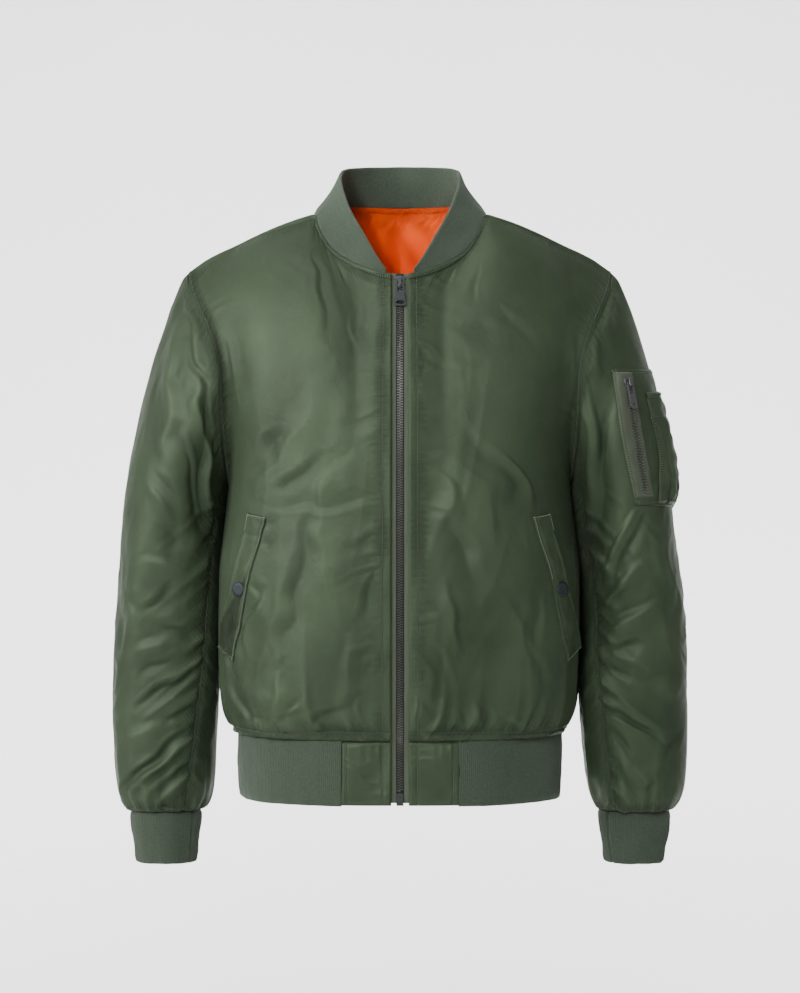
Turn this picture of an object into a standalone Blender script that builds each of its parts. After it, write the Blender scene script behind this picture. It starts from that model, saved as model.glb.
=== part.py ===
"""Bomber jacket filled out as worn: nylon panels, rib collar, cuffs and hem, metal zip.

Metres, +Z up, the front faces -Y and the wearer's left is +X.
The origin is the middle of the neck base, where a wearer holds the jacket up.
"""
import math
from collections import namedtuple

import bmesh
import bpy
import numpy as np
from mathutils import Matrix, Vector
from mathutils.bvhtree import BVHTree

# Cloth walls and the spaces left between pieces.
NYLON_WALL = 0.0022
RIB_WALL = 0.0030
LINING_WALL = 0.0012
TAPE_WALL = 0.0010
SEAM_SPACE = 0.00025
LINING_SPACE = 0.0008
OVERLAY_WALL = 0.0016
OVERLAY_LIFT = 0.0004

# Panel layout: cells from side to centre, rows of the armhole, cells of the shoulder seam.
HALF_CELLS = 20
ARMHOLE_ROWS = 10
SHOULDER_CELLS = 11
HEAD_ROWS = 8
SECTION_POWER = 2.45
ZIP_EDGE = 0.009

Section = namedtuple("Section", "height half_width front_depth back_depth")
BODY_SECTIONS = [
    Section(-0.5558, 0.1745, 0.1290, 0.1250),
    Section(-0.5510, 0.1785, 0.1312, 0.1295),
    Section(-0.5430, 0.1840, 0.1340, 0.1350),
    Section(-0.5300, 0.1890, 0.1370, 0.1395),
    Section(-0.5100, 0.1915, 0.1392, 0.1420),
    Section(-0.4800, 0.1920, 0.1408, 0.1425),
    Section(-0.4450, 0.1920, 0.1420, 0.1420),
    Section(-0.4100, 0.1915, 0.1428, 0.1412),
    Section(-0.3750, 0.1908, 0.1428, 0.1402),
    Section(-0.3450, 0.1892, 0.1422, 0.1392),
    Section(-0.3200, 0.1862, 0.1415, 0.1385),
    Section(-0.2970, 0.1830, 0.1405, 0.1378),
]

Spot = namedtuple("Spot", "x y z")
FRONT_ARMHOLE = [
    Spot(0.1830, 0.0000, -0.2970),
    Spot(0.1845, -0.0300, -0.2800),
    Spot(0.1868, -0.0580, -0.2480),
    Spot(0.1885, -0.0740, -0.2120),
    Spot(0.1890, -0.0800, -0.1800),
    Spot(0.1930, -0.0780, -0.1560),
    Spot(0.2010, -0.0700, -0.1360),
    Spot(0.2100, -0.0580, -0.1170),
    Spot(0.2255, -0.0280, -0.0840),
    Spot(0.2310, -0.0040, -0.0630),
]
BACK_ARMHOLE = [
    Spot(0.1830, 0.0000, -0.2970),
    Spot(0.1848, 0.0340, -0.2780),
    Spot(0.1890, 0.0620, -0.2430),
    Spot(0.1940, 0.0780, -0.2000),
    Spot(0.2000, 0.0810, -0.1650),
    Spot(0.2080, 0.0720, -0.1320),
    Spot(0.2190, 0.0500, -0.1010),
    Spot(0.2280, 0.0220, -0.0760),
    Spot(0.2310, -0.0040, -0.0630),
]
SHOULDER_SEAM = [
    Spot(0.2310, -0.0040, -0.0630),
    Spot(0.2050, -0.0080, -0.0455),
    Spot(0.1780, -0.0120, -0.0340),
    Spot(0.1570, -0.0160, -0.0245),
    Spot(0.1255, -0.0200, -0.0112),
    Spot(0.0985, -0.0220, -0.0024),
    Spot(0.0905, -0.0220, -0.0008),
]
FRONT_NECK = [
    Spot(0.0905, -0.0220, -0.0008),
    Spot(0.0865, -0.0370, -0.0170),
    Spot(0.0721, -0.0560, -0.0404),
    Spot(0.0548, -0.0710, -0.0528),
    Spot(0.0378, -0.0820, -0.0611),
    Spot(0.0188, -0.0890, -0.0671),
    Spot(0.0090, -0.0910, -0.0695),
]
BACK_NECK = [
    Spot(0.0905, -0.0220, -0.0008),
    Spot(0.0905, 0.0000, 0.0060),
    Spot(0.0870, 0.0280, 0.0115),
    Spot(0.0710, 0.0570, 0.0165),
    Spot(0.0400, 0.0780, 0.0182),
    Spot(0.0000, 0.0850, 0.0185),
]
FRONT_CENTRE = [
    Spot(0.0090, -0.1405, -0.2970),
    Spot(0.0090, -0.1370, -0.2400),
    Spot(0.0090, -0.1290, -0.1800),
    Spot(0.0090, -0.1150, -0.1250),
    Spot(0.0090, -0.0910, -0.0695),
]
BACK_CENTRE = [
    Spot(0.0000, 0.1378, -0.2970),
    Spot(0.0000, 0.1370, -0.2200),
    Spot(0.0000, 0.1310, -0.1400),
    Spot(0.0000, 0.1170, -0.0600),
    Spot(0.0000, 0.0850, 0.0185),
]
FRONT_BULGE = (0.0, -0.010, 0.028)
BACK_BULGE = (0.0, 0.012, 0.034)

SleeveSection = namedtuple("SleeveSection", "height inner_x outer_x front_y back_y")
SLEEVE_SECTIONS = [
    SleeveSection(-0.3750, 0.1927, 0.3022, -0.0640, 0.0800),
    SleeveSection(-0.4150, 0.1938, 0.3058, -0.0600, 0.0760),
    SleeveSection(-0.4550, 0.1944, 0.3086, -0.0565, 0.0720),
    SleeveSection(-0.4950, 0.1952, 0.3105, -0.0540, 0.0685),
    SleeveSection(-0.5350, 0.1966, 0.3112, -0.0520, 0.0655),
    SleeveSection(-0.5700, 0.1985, 0.3102, -0.0505, 0.0630),
    SleeveSection(-0.5980, 0.2005, 0.3085, -0.0490, 0.0600),
    SleeveSection(-0.6180, 0.2030, 0.3060, -0.0465, 0.0560),
    SleeveSection(-0.6300, 0.2065, 0.3020, -0.0430, 0.0510),
    SleeveSection(-0.6375, 0.2110, 0.2970, -0.0380, 0.0450),
    SleeveSection(-0.6405, 0.2155, 0.2915, -0.0330, 0.0390),
]
HEAD_SLOPE_OUTER = 0.150
HEAD_SLOPE_INNER = 0.012
HEAD_SLOPE_SIDE = 0.030

CUFF_SECTIONS = [
    SleeveSection(-0.6411, 0.2160, 0.2905, -0.0325, 0.0385),
    SleeveSection(-0.6600, 0.2165, 0.2900, -0.0322, 0.0380),
    SleeveSection(-0.6950, 0.2205, 0.2850, -0.0290, 0.0345),
]
BAND_SECTIONS = [
    Section(-0.5564, 0.1735, 0.1282, 0.1245),
    Section(-0.5900, 0.1738, 0.1285, 0.1248),
    Section(-0.6220, 0.1722, 0.1275, 0.1238),
]
BAND_END_WIDTH = 0.053
BAND_END_CELLS = 4
RIB_HALF_CELLS = 26

COLLAR_TOP = [
    Spot(0.0152, -0.0905, -0.0632),
    Spot(0.0251, -0.0850, -0.0522),
    Spot(0.0379, -0.0700, -0.0287),
    Spot(0.0520, -0.0500, 0.0000),
    Spot(0.0592, -0.0280, 0.0258),
    Spot(0.0605, -0.0100, 0.0400),
    Spot(0.0590, 0.0120, 0.0480),
    Spot(0.0530, 0.0440, 0.0555),
    Spot(0.0370, 0.0670, 0.0605),
    Spot(0.0000, 0.0780, 0.0625),
]
COLLAR_ROWS = 4
LINING_ROWS = slice(9, 22)
LINING_CELLS = slice(13, 28)
COLLAR_BULGE = 0.0012
COLLAR_START = 0.45
COLLAR_SPACE = 0.0009

# Overlays on a panel: edges by angle round the body or arm axis, in degrees, and by height.
Strip = namedtuple("Strip", "outer outer_height inner inner_height")
POCKET_WELT = [
    Strip(29.3, -0.3205, 37.9, -0.3240),
    Strip(23.4, -0.3930, 31.2, -0.3980),
    Strip(17.5, -0.4280, 28.2, -0.4370),
    Strip(12.5, -0.4640, 23.4, -0.4765),
]
SNAP_ANGLE, SNAP_HEIGHT = 27.6, -0.4000
ARM_AXIS = (0.240, 0.005)
SLEEVE_POCKET = [
    Strip(103.1, -0.1690, 20.0, -0.1655),
    Strip(98.9, -0.2050, 14.0, -0.2050),
    Strip(94.4, -0.2540, 8.0, -0.2560),
    Strip(84.6, -0.3125, 8.0, -0.3150),
]
SLEEVE_ZIP = [
    Strip(95.3, -0.1725, 87.3, -0.1720),
    Strip(91.6, -0.2100, 83.6, -0.2095),
    Strip(88.2, -0.2400, 80.2, -0.2395),
    Strip(84.6, -0.2700, 76.6, -0.2695),
    Strip(79.6, -0.3040, 71.6, -0.3035),
]
SLEEVE_TEETH = [
    Strip(90.3, -0.1935, 87.9, -0.1935),
    Strip(89.1, -0.2100, 86.5, -0.2100),
    Strip(85.6, -0.2400, 83.0, -0.2400),
    Strip(82.0, -0.2700, 79.4, -0.2700),
    Strip(77.4, -0.2990, 74.8, -0.2990),
]
PEN_POCKET = [
    Strip(70.0, -0.1930, 22.0, -0.1905),
    Strip(66.0, -0.2180, 17.0, -0.2180),
    Strip(59.0, -0.2560, 12.0, -0.2560),
    Strip(62.0, -0.2880, 12.0, -0.2880),
    Strip(64.0, -0.3100, 16.0, -0.3120),
]
PEN_BULGE = 0.0085
TEETH_WALL = 0.0014

# Sliders and pull tabs in their own frame: x across, y into the cloth, z up along the teeth.
CHAIN_HALF = 0.0036
CHAIN_WALL = 0.0028
PLATE_OUTLINE = [(-0.0052, 0.0062), (0.0052, 0.0062), (0.0052, 0.0010), (0.0043, -0.0062),
                 (-0.0043, -0.0062), (-0.0052, 0.0010)]
PLATE_WALL = 0.0013
PLATE_LIFT = 0.0009
BRIDGE_HALF = 0.0016
BRIDGE_OUTLINE = [(-0.0045, -0.0019), (-0.0045, -0.0046), (-0.0036, -0.0056), (0.0036, -0.0056),
                  (0.0045, -0.0046), (0.0045, -0.0019), (0.0030, -0.0019), (0.0030, -0.0044),
                  (0.0026, -0.0048), (-0.0026, -0.0048), (-0.0030, -0.0044), (-0.0030, -0.0019)]
PIVOT_OUT = 0.0036
PULL_WALL = 0.0011
PULL_BAR = 0.0007
PULL_HALF_OUTLINE = [(0.0040, 0.0007), (0.0046, 0.0002), (0.0047, -0.0140), (0.0052, -0.0200),
                     (0.0063, -0.0245), (0.0063, -0.0285), (0.0053, -0.0300)]
PULL_SLOT = (0.0026, -0.0008, -0.0125)
PULL_HOLE = (0.0044, 0.0023, -0.0262)
SLEEVE_PULL_HALF_OUTLINE = [(0.0036, 0.0007), (0.0041, 0.0002), (0.0042, -0.0140),
                            (0.0044, -0.0265), (0.0036, -0.0285)]
SLEEVE_PULL_HOLE = (0.0017, 0.0017, -0.0245)
SNAP_PROFILE = [(0.0068, 0.0), (0.0070, 0.0005), (0.0063, 0.0013), (0.0050, 0.0017), (0.0041, 0.0014)]

# Gathers where the nylon is drawn in: one ridge at every second column of a panel.
Gather = namedtuple("Gather", "rise height")
FRONT_GATHERS = [
    Gather(0.0030, 0.060), Gather(0.0036, 0.045), Gather(0.0028, 0.075), Gather(0.0038, 0.050),
    Gather(0.0030, 0.085), Gather(0.0034, 0.055), Gather(0.0026, 0.070), Gather(0.0030, 0.045),
    Gather(0.0020, 0.060), Gather(0.0010, 0.040),
]
CUFF_GATHERS = [
    Gather(0.0026, 0.040), Gather(0.0032, 0.055), Gather(0.0024, 0.035), Gather(0.0034, 0.050),
    Gather(0.0008, 0.030), Gather(0.0008, 0.030), Gather(0.0028, 0.040), Gather(0.0032, 0.055),
    Gather(0.0026, 0.040), Gather(0.0030, 0.050),
]

# Folds, from one place to another across a panel, each in cells and rows of that panel.
Fold = namedtuple("Fold", "cell row to_cell to_row width rise")
FRONT_FOLDS = [
    Fold(3.0, 13.0, 9.0, 4.0, 1.5, 0.0045),
    Fold(8.0, 17.5, 13.0, 9.0, 1.4, 0.0035),
    Fold(15.0, 16.5, 17.0, 6.0, 1.2, 0.0030),
    Fold(6.0, 8.0, 11.0, 2.0, 1.3, 0.0035),
    Fold(11.0, 10.0, 16.0, 3.0, 1.3, -0.0030),
    Fold(2.0, 17.0, 6.0, 11.0, 1.3, -0.0035),
]
BACK_FOLDS = [
    Fold(5.0, 15.0, 12.0, 6.0, 1.8, 0.0045),
    Fold(35.0, 15.5, 29.0, 5.0, 1.7, 0.0050),
    Fold(14.0, 12.0, 18.0, 3.0, 1.5, -0.0035),
    Fold(27.0, 13.0, 23.0, 3.0, 1.6, 0.0035),
    Fold(9.0, 8.0, 6.0, 2.0, 1.3, 0.0040),
    Fold(32.0, 8.0, 35.0, 2.5, 1.3, -0.0035),
]
SLEEVE_FOLDS = [
    Fold(1.5, 1.0, 4.5, 7.0, 1.0, 0.0045),
    Fold(3.0, 0.6, 7.0, 5.0, 0.9, 0.0040),
    Fold(4.0, 6.0, 6.5, 12.0, 0.9, 0.0045),
    Fold(7.0, 5.0, 3.0, 9.5, 0.8, -0.0045),
    Fold(7.5, 11.5, 4.5, 13.5, 0.7, 0.0040),
    Fold(2.0, 16.0, 6.5, 13.0, 0.7, 0.0045),
    Fold(1.0, 14.5, 5.0, 12.0, 0.7, -0.0040),
    Fold(17.0, 2.0, 14.0, 8.0, 1.0, 0.0045),
    Fold(13.0, 6.0, 16.5, 11.0, 0.9, -0.0045),
    Fold(16.5, 16.0, 13.0, 12.5, 0.8, 0.0045),
    Fold(18.5, 5.0, 17.5, 13.0, 0.9, 0.0035),
]


def clear_scene():
    for obj in list(bpy.data.objects):
        bpy.data.objects.remove(obj, do_unlink=True)


def make_material(name, colour, roughness, metallic=0.0):
    material = bpy.data.materials.new(name)
    material.use_nodes = True
    shader = material.node_tree.nodes["Principled BSDF"]
    shader.inputs["Base Color"].default_value = (*colour, 1.0)
    shader.inputs["Roughness"].default_value = roughness
    shader.inputs["Metallic"].default_value = metallic
    return material


def curve_through(points, cells):
    """Smooth curve through the points, cut into cells of equal length."""
    knots = np.array(points, float)
    gaps = np.linalg.norm(np.diff(knots, axis=0), axis=1)
    place = np.concatenate([[0.0], np.cumsum(gaps)])
    slopes = np.gradient(knots, place, axis=0)
    fine = []
    for i, gap in enumerate(gaps):
        for t in np.linspace(0.0, 1.0, 24, endpoint=False):
            fine.append((2 * t**3 - 3 * t**2 + 1) * knots[i] + (3 * t**2 - 2 * t**3) * knots[i + 1]
                        + gap * ((t**3 - 2 * t**2 + t) * slopes[i] + (t**3 - t**2) * slopes[i + 1]))
    fine.append(knots[-1])
    fine = np.array(fine)
    return cut_evenly(fine, cells)


def cut_evenly(line, cells):
    run = np.concatenate([[0.0], np.cumsum(np.linalg.norm(np.diff(line, axis=0), axis=1))])
    marks = np.linspace(0.0, run[-1], cells + 1)
    return np.stack([np.interp(marks, run, line[:, axis]) for axis in range(3)], axis=1)


def quarter_section(height, half_width, depth, edge, side, cells):
    """From the side seam to the centre, depth towards -Y on the front and +Y on the back."""
    turn = np.linspace(0.0, math.pi / 2, 200)
    cosine, sine = np.cos(turn).clip(0.0), np.sin(turn)
    reach = (cosine**SECTION_POWER + sine**SECTION_POWER) ** (-1.0 / SECTION_POWER)
    x = edge + (half_width - edge) * reach * cosine
    y = side * depth * reach * sine
    return cut_evenly(np.stack([x, y, np.full_like(x, height)], axis=1), cells)


def four_sided(low, high, left, right):
    """Surface between four edges that meet at their ends."""
    across = np.linspace(0.0, 1.0, len(low))[None, :, None]
    up = np.linspace(0.0, 1.0, len(left))[:, None, None]
    ruled_up = (1 - up) * low[None] + up * high[None]
    ruled_across = (1 - across) * left[:, None] + across * right[:, None]
    corners = ((1 - up) * ((1 - across) * low[0] + across * low[-1])
               + up * ((1 - across) * high[0] + across * high[-1]))
    return ruled_up + ruled_across - corners


def smooth_inside(grid, first_row, rounds):
    for _ in range(rounds):
        middle = grid[1:-1, 1:-1]
        mean = (grid[:-2, 1:-1] + grid[2:, 1:-1] + grid[1:-1, :-2] + grid[1:-1, 2:]) / 4
        share = np.zeros(len(grid) - 2)
        share[first_row:] = 0.5
        grid[1:-1, 1:-1] = middle + share[:, None, None] * (mean - middle)
    return grid


def half_panel(armhole, centre, neck, depth_name, edge, side, bulge):
    """Wearer's left half of the front or back, from the hem row up, side seam to centre."""
    rows = [quarter_section(s.height, s.half_width, getattr(s, depth_name), edge, side, HALF_CELLS)
            for s in BODY_SECTIONS]
    shoulder = curve_through(SHOULDER_SEAM, SHOULDER_CELLS)
    neckline = curve_through(neck, HALF_CELLS - SHOULDER_CELLS)
    top = np.concatenate([shoulder, neckline[1:]])
    upper = four_sided(rows[-1], top, curve_through(armhole, ARMHOLE_ROWS),
                       curve_through(centre, ARMHOLE_ROWS))
    grid = smooth_inside(np.concatenate([np.array(rows), upper[1:]]), len(rows) - 4, 30)
    up = (np.arange(len(grid)) - len(rows) + 4).clip(0) / (ARMHOLE_ROWS + 3)
    across = np.linspace(0.0, 1.0, HALF_CELLS + 1)
    swell = np.outer(np.sin(math.pi * up**2.2), np.sin(math.pi * (across / 0.85).clip(0.0, 1.0)))
    return grid + swell[..., None] * np.array(bulge)


def grid_normals(grid, axis_point, closed):
    """Unit normals of a grid, pointing away from the axis point."""
    if closed:
        across = np.roll(grid, -1, axis=1) - np.roll(grid, 1, axis=1)
    else:
        across = np.gradient(grid, axis=1)
    up = np.gradient(grid, axis=0)
    normals = np.cross(across, up)
    normals /= np.linalg.norm(normals, axis=2, keepdims=True)
    if np.sum(normals * (grid - np.array(axis_point))) < 0.0:
        normals = -normals
    return normals


def eased(normals, closed):
    """Normals averaged with their neighbours, for a wall that keeps clear of itself."""
    if closed:
        sides = np.roll(normals, 1, axis=1) + np.roll(normals, -1, axis=1)
    else:
        wide = np.pad(normals, ((0, 0), (1, 1), (0, 0)), mode="edge")
        sides = wide[:, :-2] + wide[:, 2:]
    tall = np.pad(normals, ((1, 1), (0, 0), (0, 0)), mode="edge")
    total = 2 * normals + sides + tall[:-2] + tall[2:]
    return total / np.linalg.norm(total, axis=2, keepdims=True)


def press(grid, normals, folds):
    """Push ridges out and troughs in along lines across the grid."""
    rows, cells = np.meshgrid(np.arange(grid.shape[0]), np.arange(grid.shape[1]), indexing="ij")
    shift = np.zeros(rows.shape)
    for fold in folds:
        run = np.array([fold.to_cell - fold.cell, fold.to_row - fold.row])
        reach = run @ run
        along = ((cells - fold.cell) * run[0] + (rows - fold.row) * run[1]) / reach
        held = along.clip(0.0, 1.0)
        away = np.hypot(cells - fold.cell - held * run[0], rows - fold.row - held * run[1])
        taper = np.sin(math.pi * held.clip(0.08, 0.92))
        shift += fold.rise * taper * np.exp(-(away / fold.width) ** 2)
    return grid + normals * shift[..., None]


def gather(grid, normals, gathers, first_cell, edge_row):
    """Ridges at every second column, highest a little above the drawn-in edge row."""
    result = grid.copy()
    for index, one in enumerate(gathers):
        cell = (first_cell + 2 * index) % grid.shape[1]
        drop = np.linalg.norm(grid[:, cell] - grid[edge_row, cell], axis=1)
        share = (drop / 0.012).clip(0.0, 1.0) * np.exp(-(drop / one.height) ** 2)
        result[:, cell] += normals[:, cell] * (share * one.rise)[:, None]
    return result


def mirrored(grid):
    return grid * np.array([-1.0, 1.0, 1.0])


def meet(own, other):
    """Share the lean of two pieces along a seam, so that their edges stay parallel."""
    agree = np.sum(own * other, axis=-1, keepdims=True).clip(0.0)
    both = own + agree * other
    return both / np.linalg.norm(both, axis=-1, keepdims=True)


def draw_back(grid, rows=(), columns=(), amount=SEAM_SPACE):
    """Move edge rows and columns into their own panel, which leaves the seam open."""
    for row in rows:
        inner = grid[row + 1] if row == 0 else grid[row - 1]
        step = inner - grid[row]
        grid[row] += amount * step / np.linalg.norm(step, axis=1, keepdims=True)
    for column in columns:
        inner = grid[:, column + 1] if column == 0 else grid[:, column - 1]
        step = inner - grid[:, column]
        grid[:, column] += amount * step / np.linalg.norm(step, axis=1, keepdims=True)
    return grid


def new_object(name, vertices, faces, material):
    mesh = bpy.data.meshes.new(name)
    mesh.from_pydata([tuple(map(float, v)) for v in vertices], [], faces)
    mesh.materials.append(material)
    mesh.update()
    obj = bpy.data.objects.new(name, mesh)
    JACKET.objects.link(obj)
    return obj


def grid_faces(rows, cells, closed, flip):
    """Triangles of a grid, both halves of every cell cut along the same diagonal."""
    faces = []
    for r in range(rows - 1):
        for c in range(cells if closed else cells - 1):
            d = (c + 1) % cells
            a, b, e, f = r * cells + c, r * cells + d, (r + 1) * cells + d, (r + 1) * cells + c
            faces += [(a, e, b), (a, f, e)] if flip else [(a, b, e), (a, e, f)]
    return faces


def shell(name, outer, normals, wall, material, closed=False):
    """Cloth wall: an outer grid and its inner copy, joined all round."""
    rows, cells = outer.shape[:2]
    inner = outer - normals * np.broadcast_to(wall, (rows, cells))[..., None]
    count = rows * cells
    across, up = np.gradient(outer, axis=1), np.gradient(outer, axis=0)
    flip = bool(np.sum(np.cross(across, up) * normals) < 0.0)
    faces = grid_faces(rows, cells, closed, flip)
    faces += [tuple(count + i for i in reversed(face)) for face in grid_faces(rows, cells, closed, flip)]
    for row in (0, rows - 1):
        for c in range(cells if closed else cells - 1):
            a, b = row * cells + c, row * cells + (c + 1) % cells
            quad = [(b, a, a + count), (b, a + count, b + count)]
            faces += [face[::-1] for face in quad] if (row > 0) != flip else quad
    if not closed:
        for cell in (0, cells - 1):
            for r in range(rows - 1):
                a, b = r * cells + cell, (r + 1) * cells + cell
                quad = [(a, b, b + count), (a, b + count, a + count)]
                faces += [face[::-1] for face in quad] if (cell > 0) != flip else quad
    points = np.concatenate([outer.reshape(-1, 3), inner.reshape(-1, 3)])
    return new_object(name, points, faces, material)


def ring(section, centre_shift, cells):
    """One level section of a sleeve, from the outer side round by the front."""
    turn = np.arange(cells) * 2 * math.pi / cells
    middle_x = (section.inner_x + section.outer_x) / 2
    half_x = (section.outer_x - section.inner_x) / 2
    middle_y = (section.front_y + section.back_y) / 2 + centre_shift
    half_y = (section.back_y - section.front_y) / 2
    power = 2.15
    cosine, sine = np.cos(turn), np.sin(turn)
    reach = (abs(cosine) ** power + abs(sine) ** power) ** (-1.0 / power)
    return np.stack([middle_x + half_x * reach * cosine, middle_y - half_y * reach * sine,
                     np.full(cells, section.height)], axis=1)


def sleeve_grid():
    """Wearer's left sleeve, armhole ring first, each column running down the arm."""
    front = curve_through(FRONT_ARMHOLE, ARMHOLE_ROWS)[::-1]
    back = curve_through(BACK_ARMHOLE, ARMHOLE_ROWS)
    armhole = np.concatenate([front, back[1:-1]])
    armhole[:, 0] += 0.0006
    cells = len(armhole)
    rings = [ring(section, 0.0, cells) for section in SLEEVE_SECTIONS]
    turn = np.arange(cells) * 2 * math.pi / cells
    outward = (1 + np.cos(turn)) / 2
    sideways = np.sin(turn)
    leave = np.zeros((cells, 3))
    leave[:, 0] = (HEAD_SLOPE_INNER + (HEAD_SLOPE_OUTER - HEAD_SLOPE_INNER) * outward
                   + HEAD_SLOPE_SIDE * abs(sideways))
    leave[:, 1] = -HEAD_SLOPE_SIDE * sideways
    drop = armhole[:, 2] - rings[0][:, 2]
    leave[:, 2] = -drop
    arrive = (rings[1] - rings[0]) / (SLEEVE_SECTIONS[0].height - SLEEVE_SECTIONS[1].height)
    arrive = arrive * drop[:, None]
    head = []
    for t in np.linspace(0.0, 1.0, HEAD_ROWS + 1)[:-1]:
        head.append((2 * t**3 - 3 * t**2 + 1) * armhole + (3 * t**2 - 2 * t**3) * rings[0]
                    + (t**3 - 2 * t**2 + t) * leave + (t**3 - t**2) * arrive)
    return np.array(head + rings)


def surface_tree(grid, closed=False):
    points = [tuple(map(float, point)) for point in grid.reshape(-1, 3)]
    return BVHTree.FromPolygons(points, grid_faces(*grid.shape[:2], closed, False))


def seat(tree, axis, angle, height, way):
    """Point on a panel seen from its axis at an angle and height, and the way out there."""
    turn = math.radians(angle)
    out = Vector((way * math.cos(turn), -math.sin(turn), 0.0))
    point, normal, _, _ = tree.ray_cast(Vector((way * axis[0], axis[1], height)), out)
    return np.array(point), np.array(normal if normal.dot(out) > 0.0 else -normal)


def on_panel(tree, axis, strips, rows, cells, way):
    """Grid laid on a panel between the two edges of a strip table."""
    table = np.array(strips, float)
    marks = np.linspace(0.0, len(table) - 1.0, rows + 1)
    edges = np.stack([np.interp(marks, np.arange(len(table)), table[:, i]) for i in range(4)], axis=1)
    grid = np.zeros((rows + 1, cells + 1, 3))
    for r, (outer, outer_height, inner, inner_height) in enumerate(edges):
        for c, share in enumerate(np.linspace(0.0, 1.0, cells + 1)):
            angle = outer + share * (inner - outer)
            height = outer_height + share * (inner_height - outer_height)
            grid[r, c] = seat(tree, axis, angle, height, way)[0]
    return grid, grid_normals(grid, (way * axis[0], axis[1], grid[..., 2].mean()), False)


def lift_clear(tree, axis, grid, lean, space, way):
    """Raise corners until every triangle of the sheet stands clear of the panel below it."""
    rows, cells = grid.shape[:2]
    triangles = grid_faces(rows, cells, False, False)
    shares = [(i / 4, j / 4, (4 - i - j) / 4) for i in range(5) for j in range(5 - i)]
    for _ in range(3):
        points = grid.reshape(-1, 3)
        lift = np.zeros(len(points))
        for face in triangles:
            for share in shares:
                point = np.array(share) @ points[list(face)]
                start = Vector((way * axis[0], axis[1], point[2]))
                out = Vector(point) - start
                hit, normal, _, _ = tree.ray_cast(start, out.normalized())
                room = (out.length - (hit - start).length) * abs(normal.dot(out.normalized()))
                if room < space:
                    for corner in face:
                        lift[corner] = max(lift[corner], space - room)
        grid = grid + lean * lift.reshape(rows, cells)[..., None]
    return grid


def prism(name, outline, low, high, along, material, place):
    """Straight bar with the given outline: across x and z, or across z and y."""
    count = len(outline)
    if along == "y":
        points = [(x, y, z) for y in (low, high) for x, z in outline]
    else:
        points = [(x, y, z) for x in (low, high) for z, y in outline]
    faces = [tuple(range(count)), tuple(range(2 * count - 1, count - 1, -1))]
    faces += [(i, i + count, (i + 1) % count + count, (i + 1) % count) for i in range(count)]
    obj = new_object(name, points, faces, material)
    form = bmesh.new()
    form.from_mesh(obj.data)
    bmesh.ops.recalc_face_normals(form, faces=form.faces)
    form.to_mesh(obj.data)
    form.free()
    obj.matrix_world = place
    return obj


def combine(target, tool, operation):
    """Boolean with a tool object, which moves to the cutters."""
    step = target.modifiers.new(tool.name, "BOOLEAN")
    step.operation, step.object, step.solver = operation, tool, "EXACT"
    JACKET.objects.unlink(tool)
    CUTTERS.objects.link(tool)
    tool.hide_render = True
    tool.display_type = "WIRE"


def oval(half_x, half_z, middle_z, corners):
    turns = [2 * math.pi * i / corners for i in range(corners)]
    return [(half_x * math.cos(turn), middle_z + half_z * math.sin(turn)) for turn in turns]


def zip_fastener(name, pull_name, outline, hole, back_plate, place):
    """Slider with its bridge, and the pull tab hung under the bridge on its own pivot."""
    front = prism(name, PLATE_OUTLINE, -PLATE_LIFT - PLATE_WALL, -PLATE_LIFT, "y", GUNMETAL, place)
    bridge = prism(name + "_bridge", BRIDGE_OUTLINE, -BRIDGE_HALF, BRIDGE_HALF, "x", GUNMETAL, place)
    combine(front, bridge, "UNION")
    if back_plate:
        post = [(-0.0016, 0.0005), (0.0016, 0.0005), (0.0016, 0.0055), (-0.0016, 0.0055)]
        wedge = prism(name + "_post", post, -PLATE_LIFT - 0.0005, PLATE_LIFT + 0.0005, "y", GUNMETAL, place)
        combine(front, wedge, "UNION")
        back_side = prism(name + "_back", PLATE_OUTLINE, PLATE_LIFT, PLATE_LIFT + PLATE_WALL, "y",
                          GUNMETAL, place)
        combine(front, back_side, "UNION")
    pivot = place @ Matrix.Translation((0.0, -PIVOT_OUT, 0.0))
    around = outline + [(-x, z) for x, z in reversed(outline)]
    pull = prism(pull_name, around, -PULL_WALL / 2, PULL_WALL / 2, "y", GUNMETAL, pivot)
    half, top, foot = PULL_SLOT
    slot = prism(pull_name + "_slot", [(-half, foot), (half, foot), (half, 0.003), (-half, 0.003)],
                 -0.002, 0.002, "y", GUNMETAL, pivot)
    combine(pull, slot, "DIFFERENCE")
    round_bar = oval(PULL_BAR, PULL_BAR, 0.0, 10)
    reach = outline[0][0] - 0.0006
    bar = prism(pull_name + "_bar", round_bar, -reach, reach, "x", GUNMETAL, pivot)
    combine(pull, bar, "UNION")
    eye = prism(pull_name + "_eye", oval(*hole, 16), -0.002, 0.002, "y", GUNMETAL, pivot)
    combine(pull, eye, "DIFFERENCE")
    return front, pull


def frame_at(point, out, up):
    """Placement with y into the cloth and z along the teeth."""
    inward = -Vector(out).normalized()
    across = inward.cross(Vector(up)).normalized()
    rise = across.cross(inward)
    return Matrix((
        (across.x, inward.x, rise.x, point[0]),
        (across.y, inward.y, rise.y, point[1]),
        (across.z, inward.z, rise.z, point[2]),
        (0.0, 0.0, 0.0, 1.0)))


clear_scene()
JACKET = bpy.data.collections.new("bomber_jacket")
bpy.context.scene.collection.children.link(JACKET)
CUTTERS = bpy.data.collections.new("cutters")
bpy.context.scene.collection.children.link(CUTTERS)

NYLON = make_material("nylon_olive", (0.105, 0.135, 0.085), 0.45)
KNIT = make_material("rib_sage", (0.090, 0.115, 0.085), 0.90)
LINING = make_material("lining_orange", (0.720, 0.130, 0.020), 0.55)
WEBBING = make_material("tape_olive", (0.095, 0.105, 0.075), 0.85)
GUNMETAL = make_material("gunmetal", (0.160, 0.170, 0.175), 0.35, 1.0)

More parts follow.
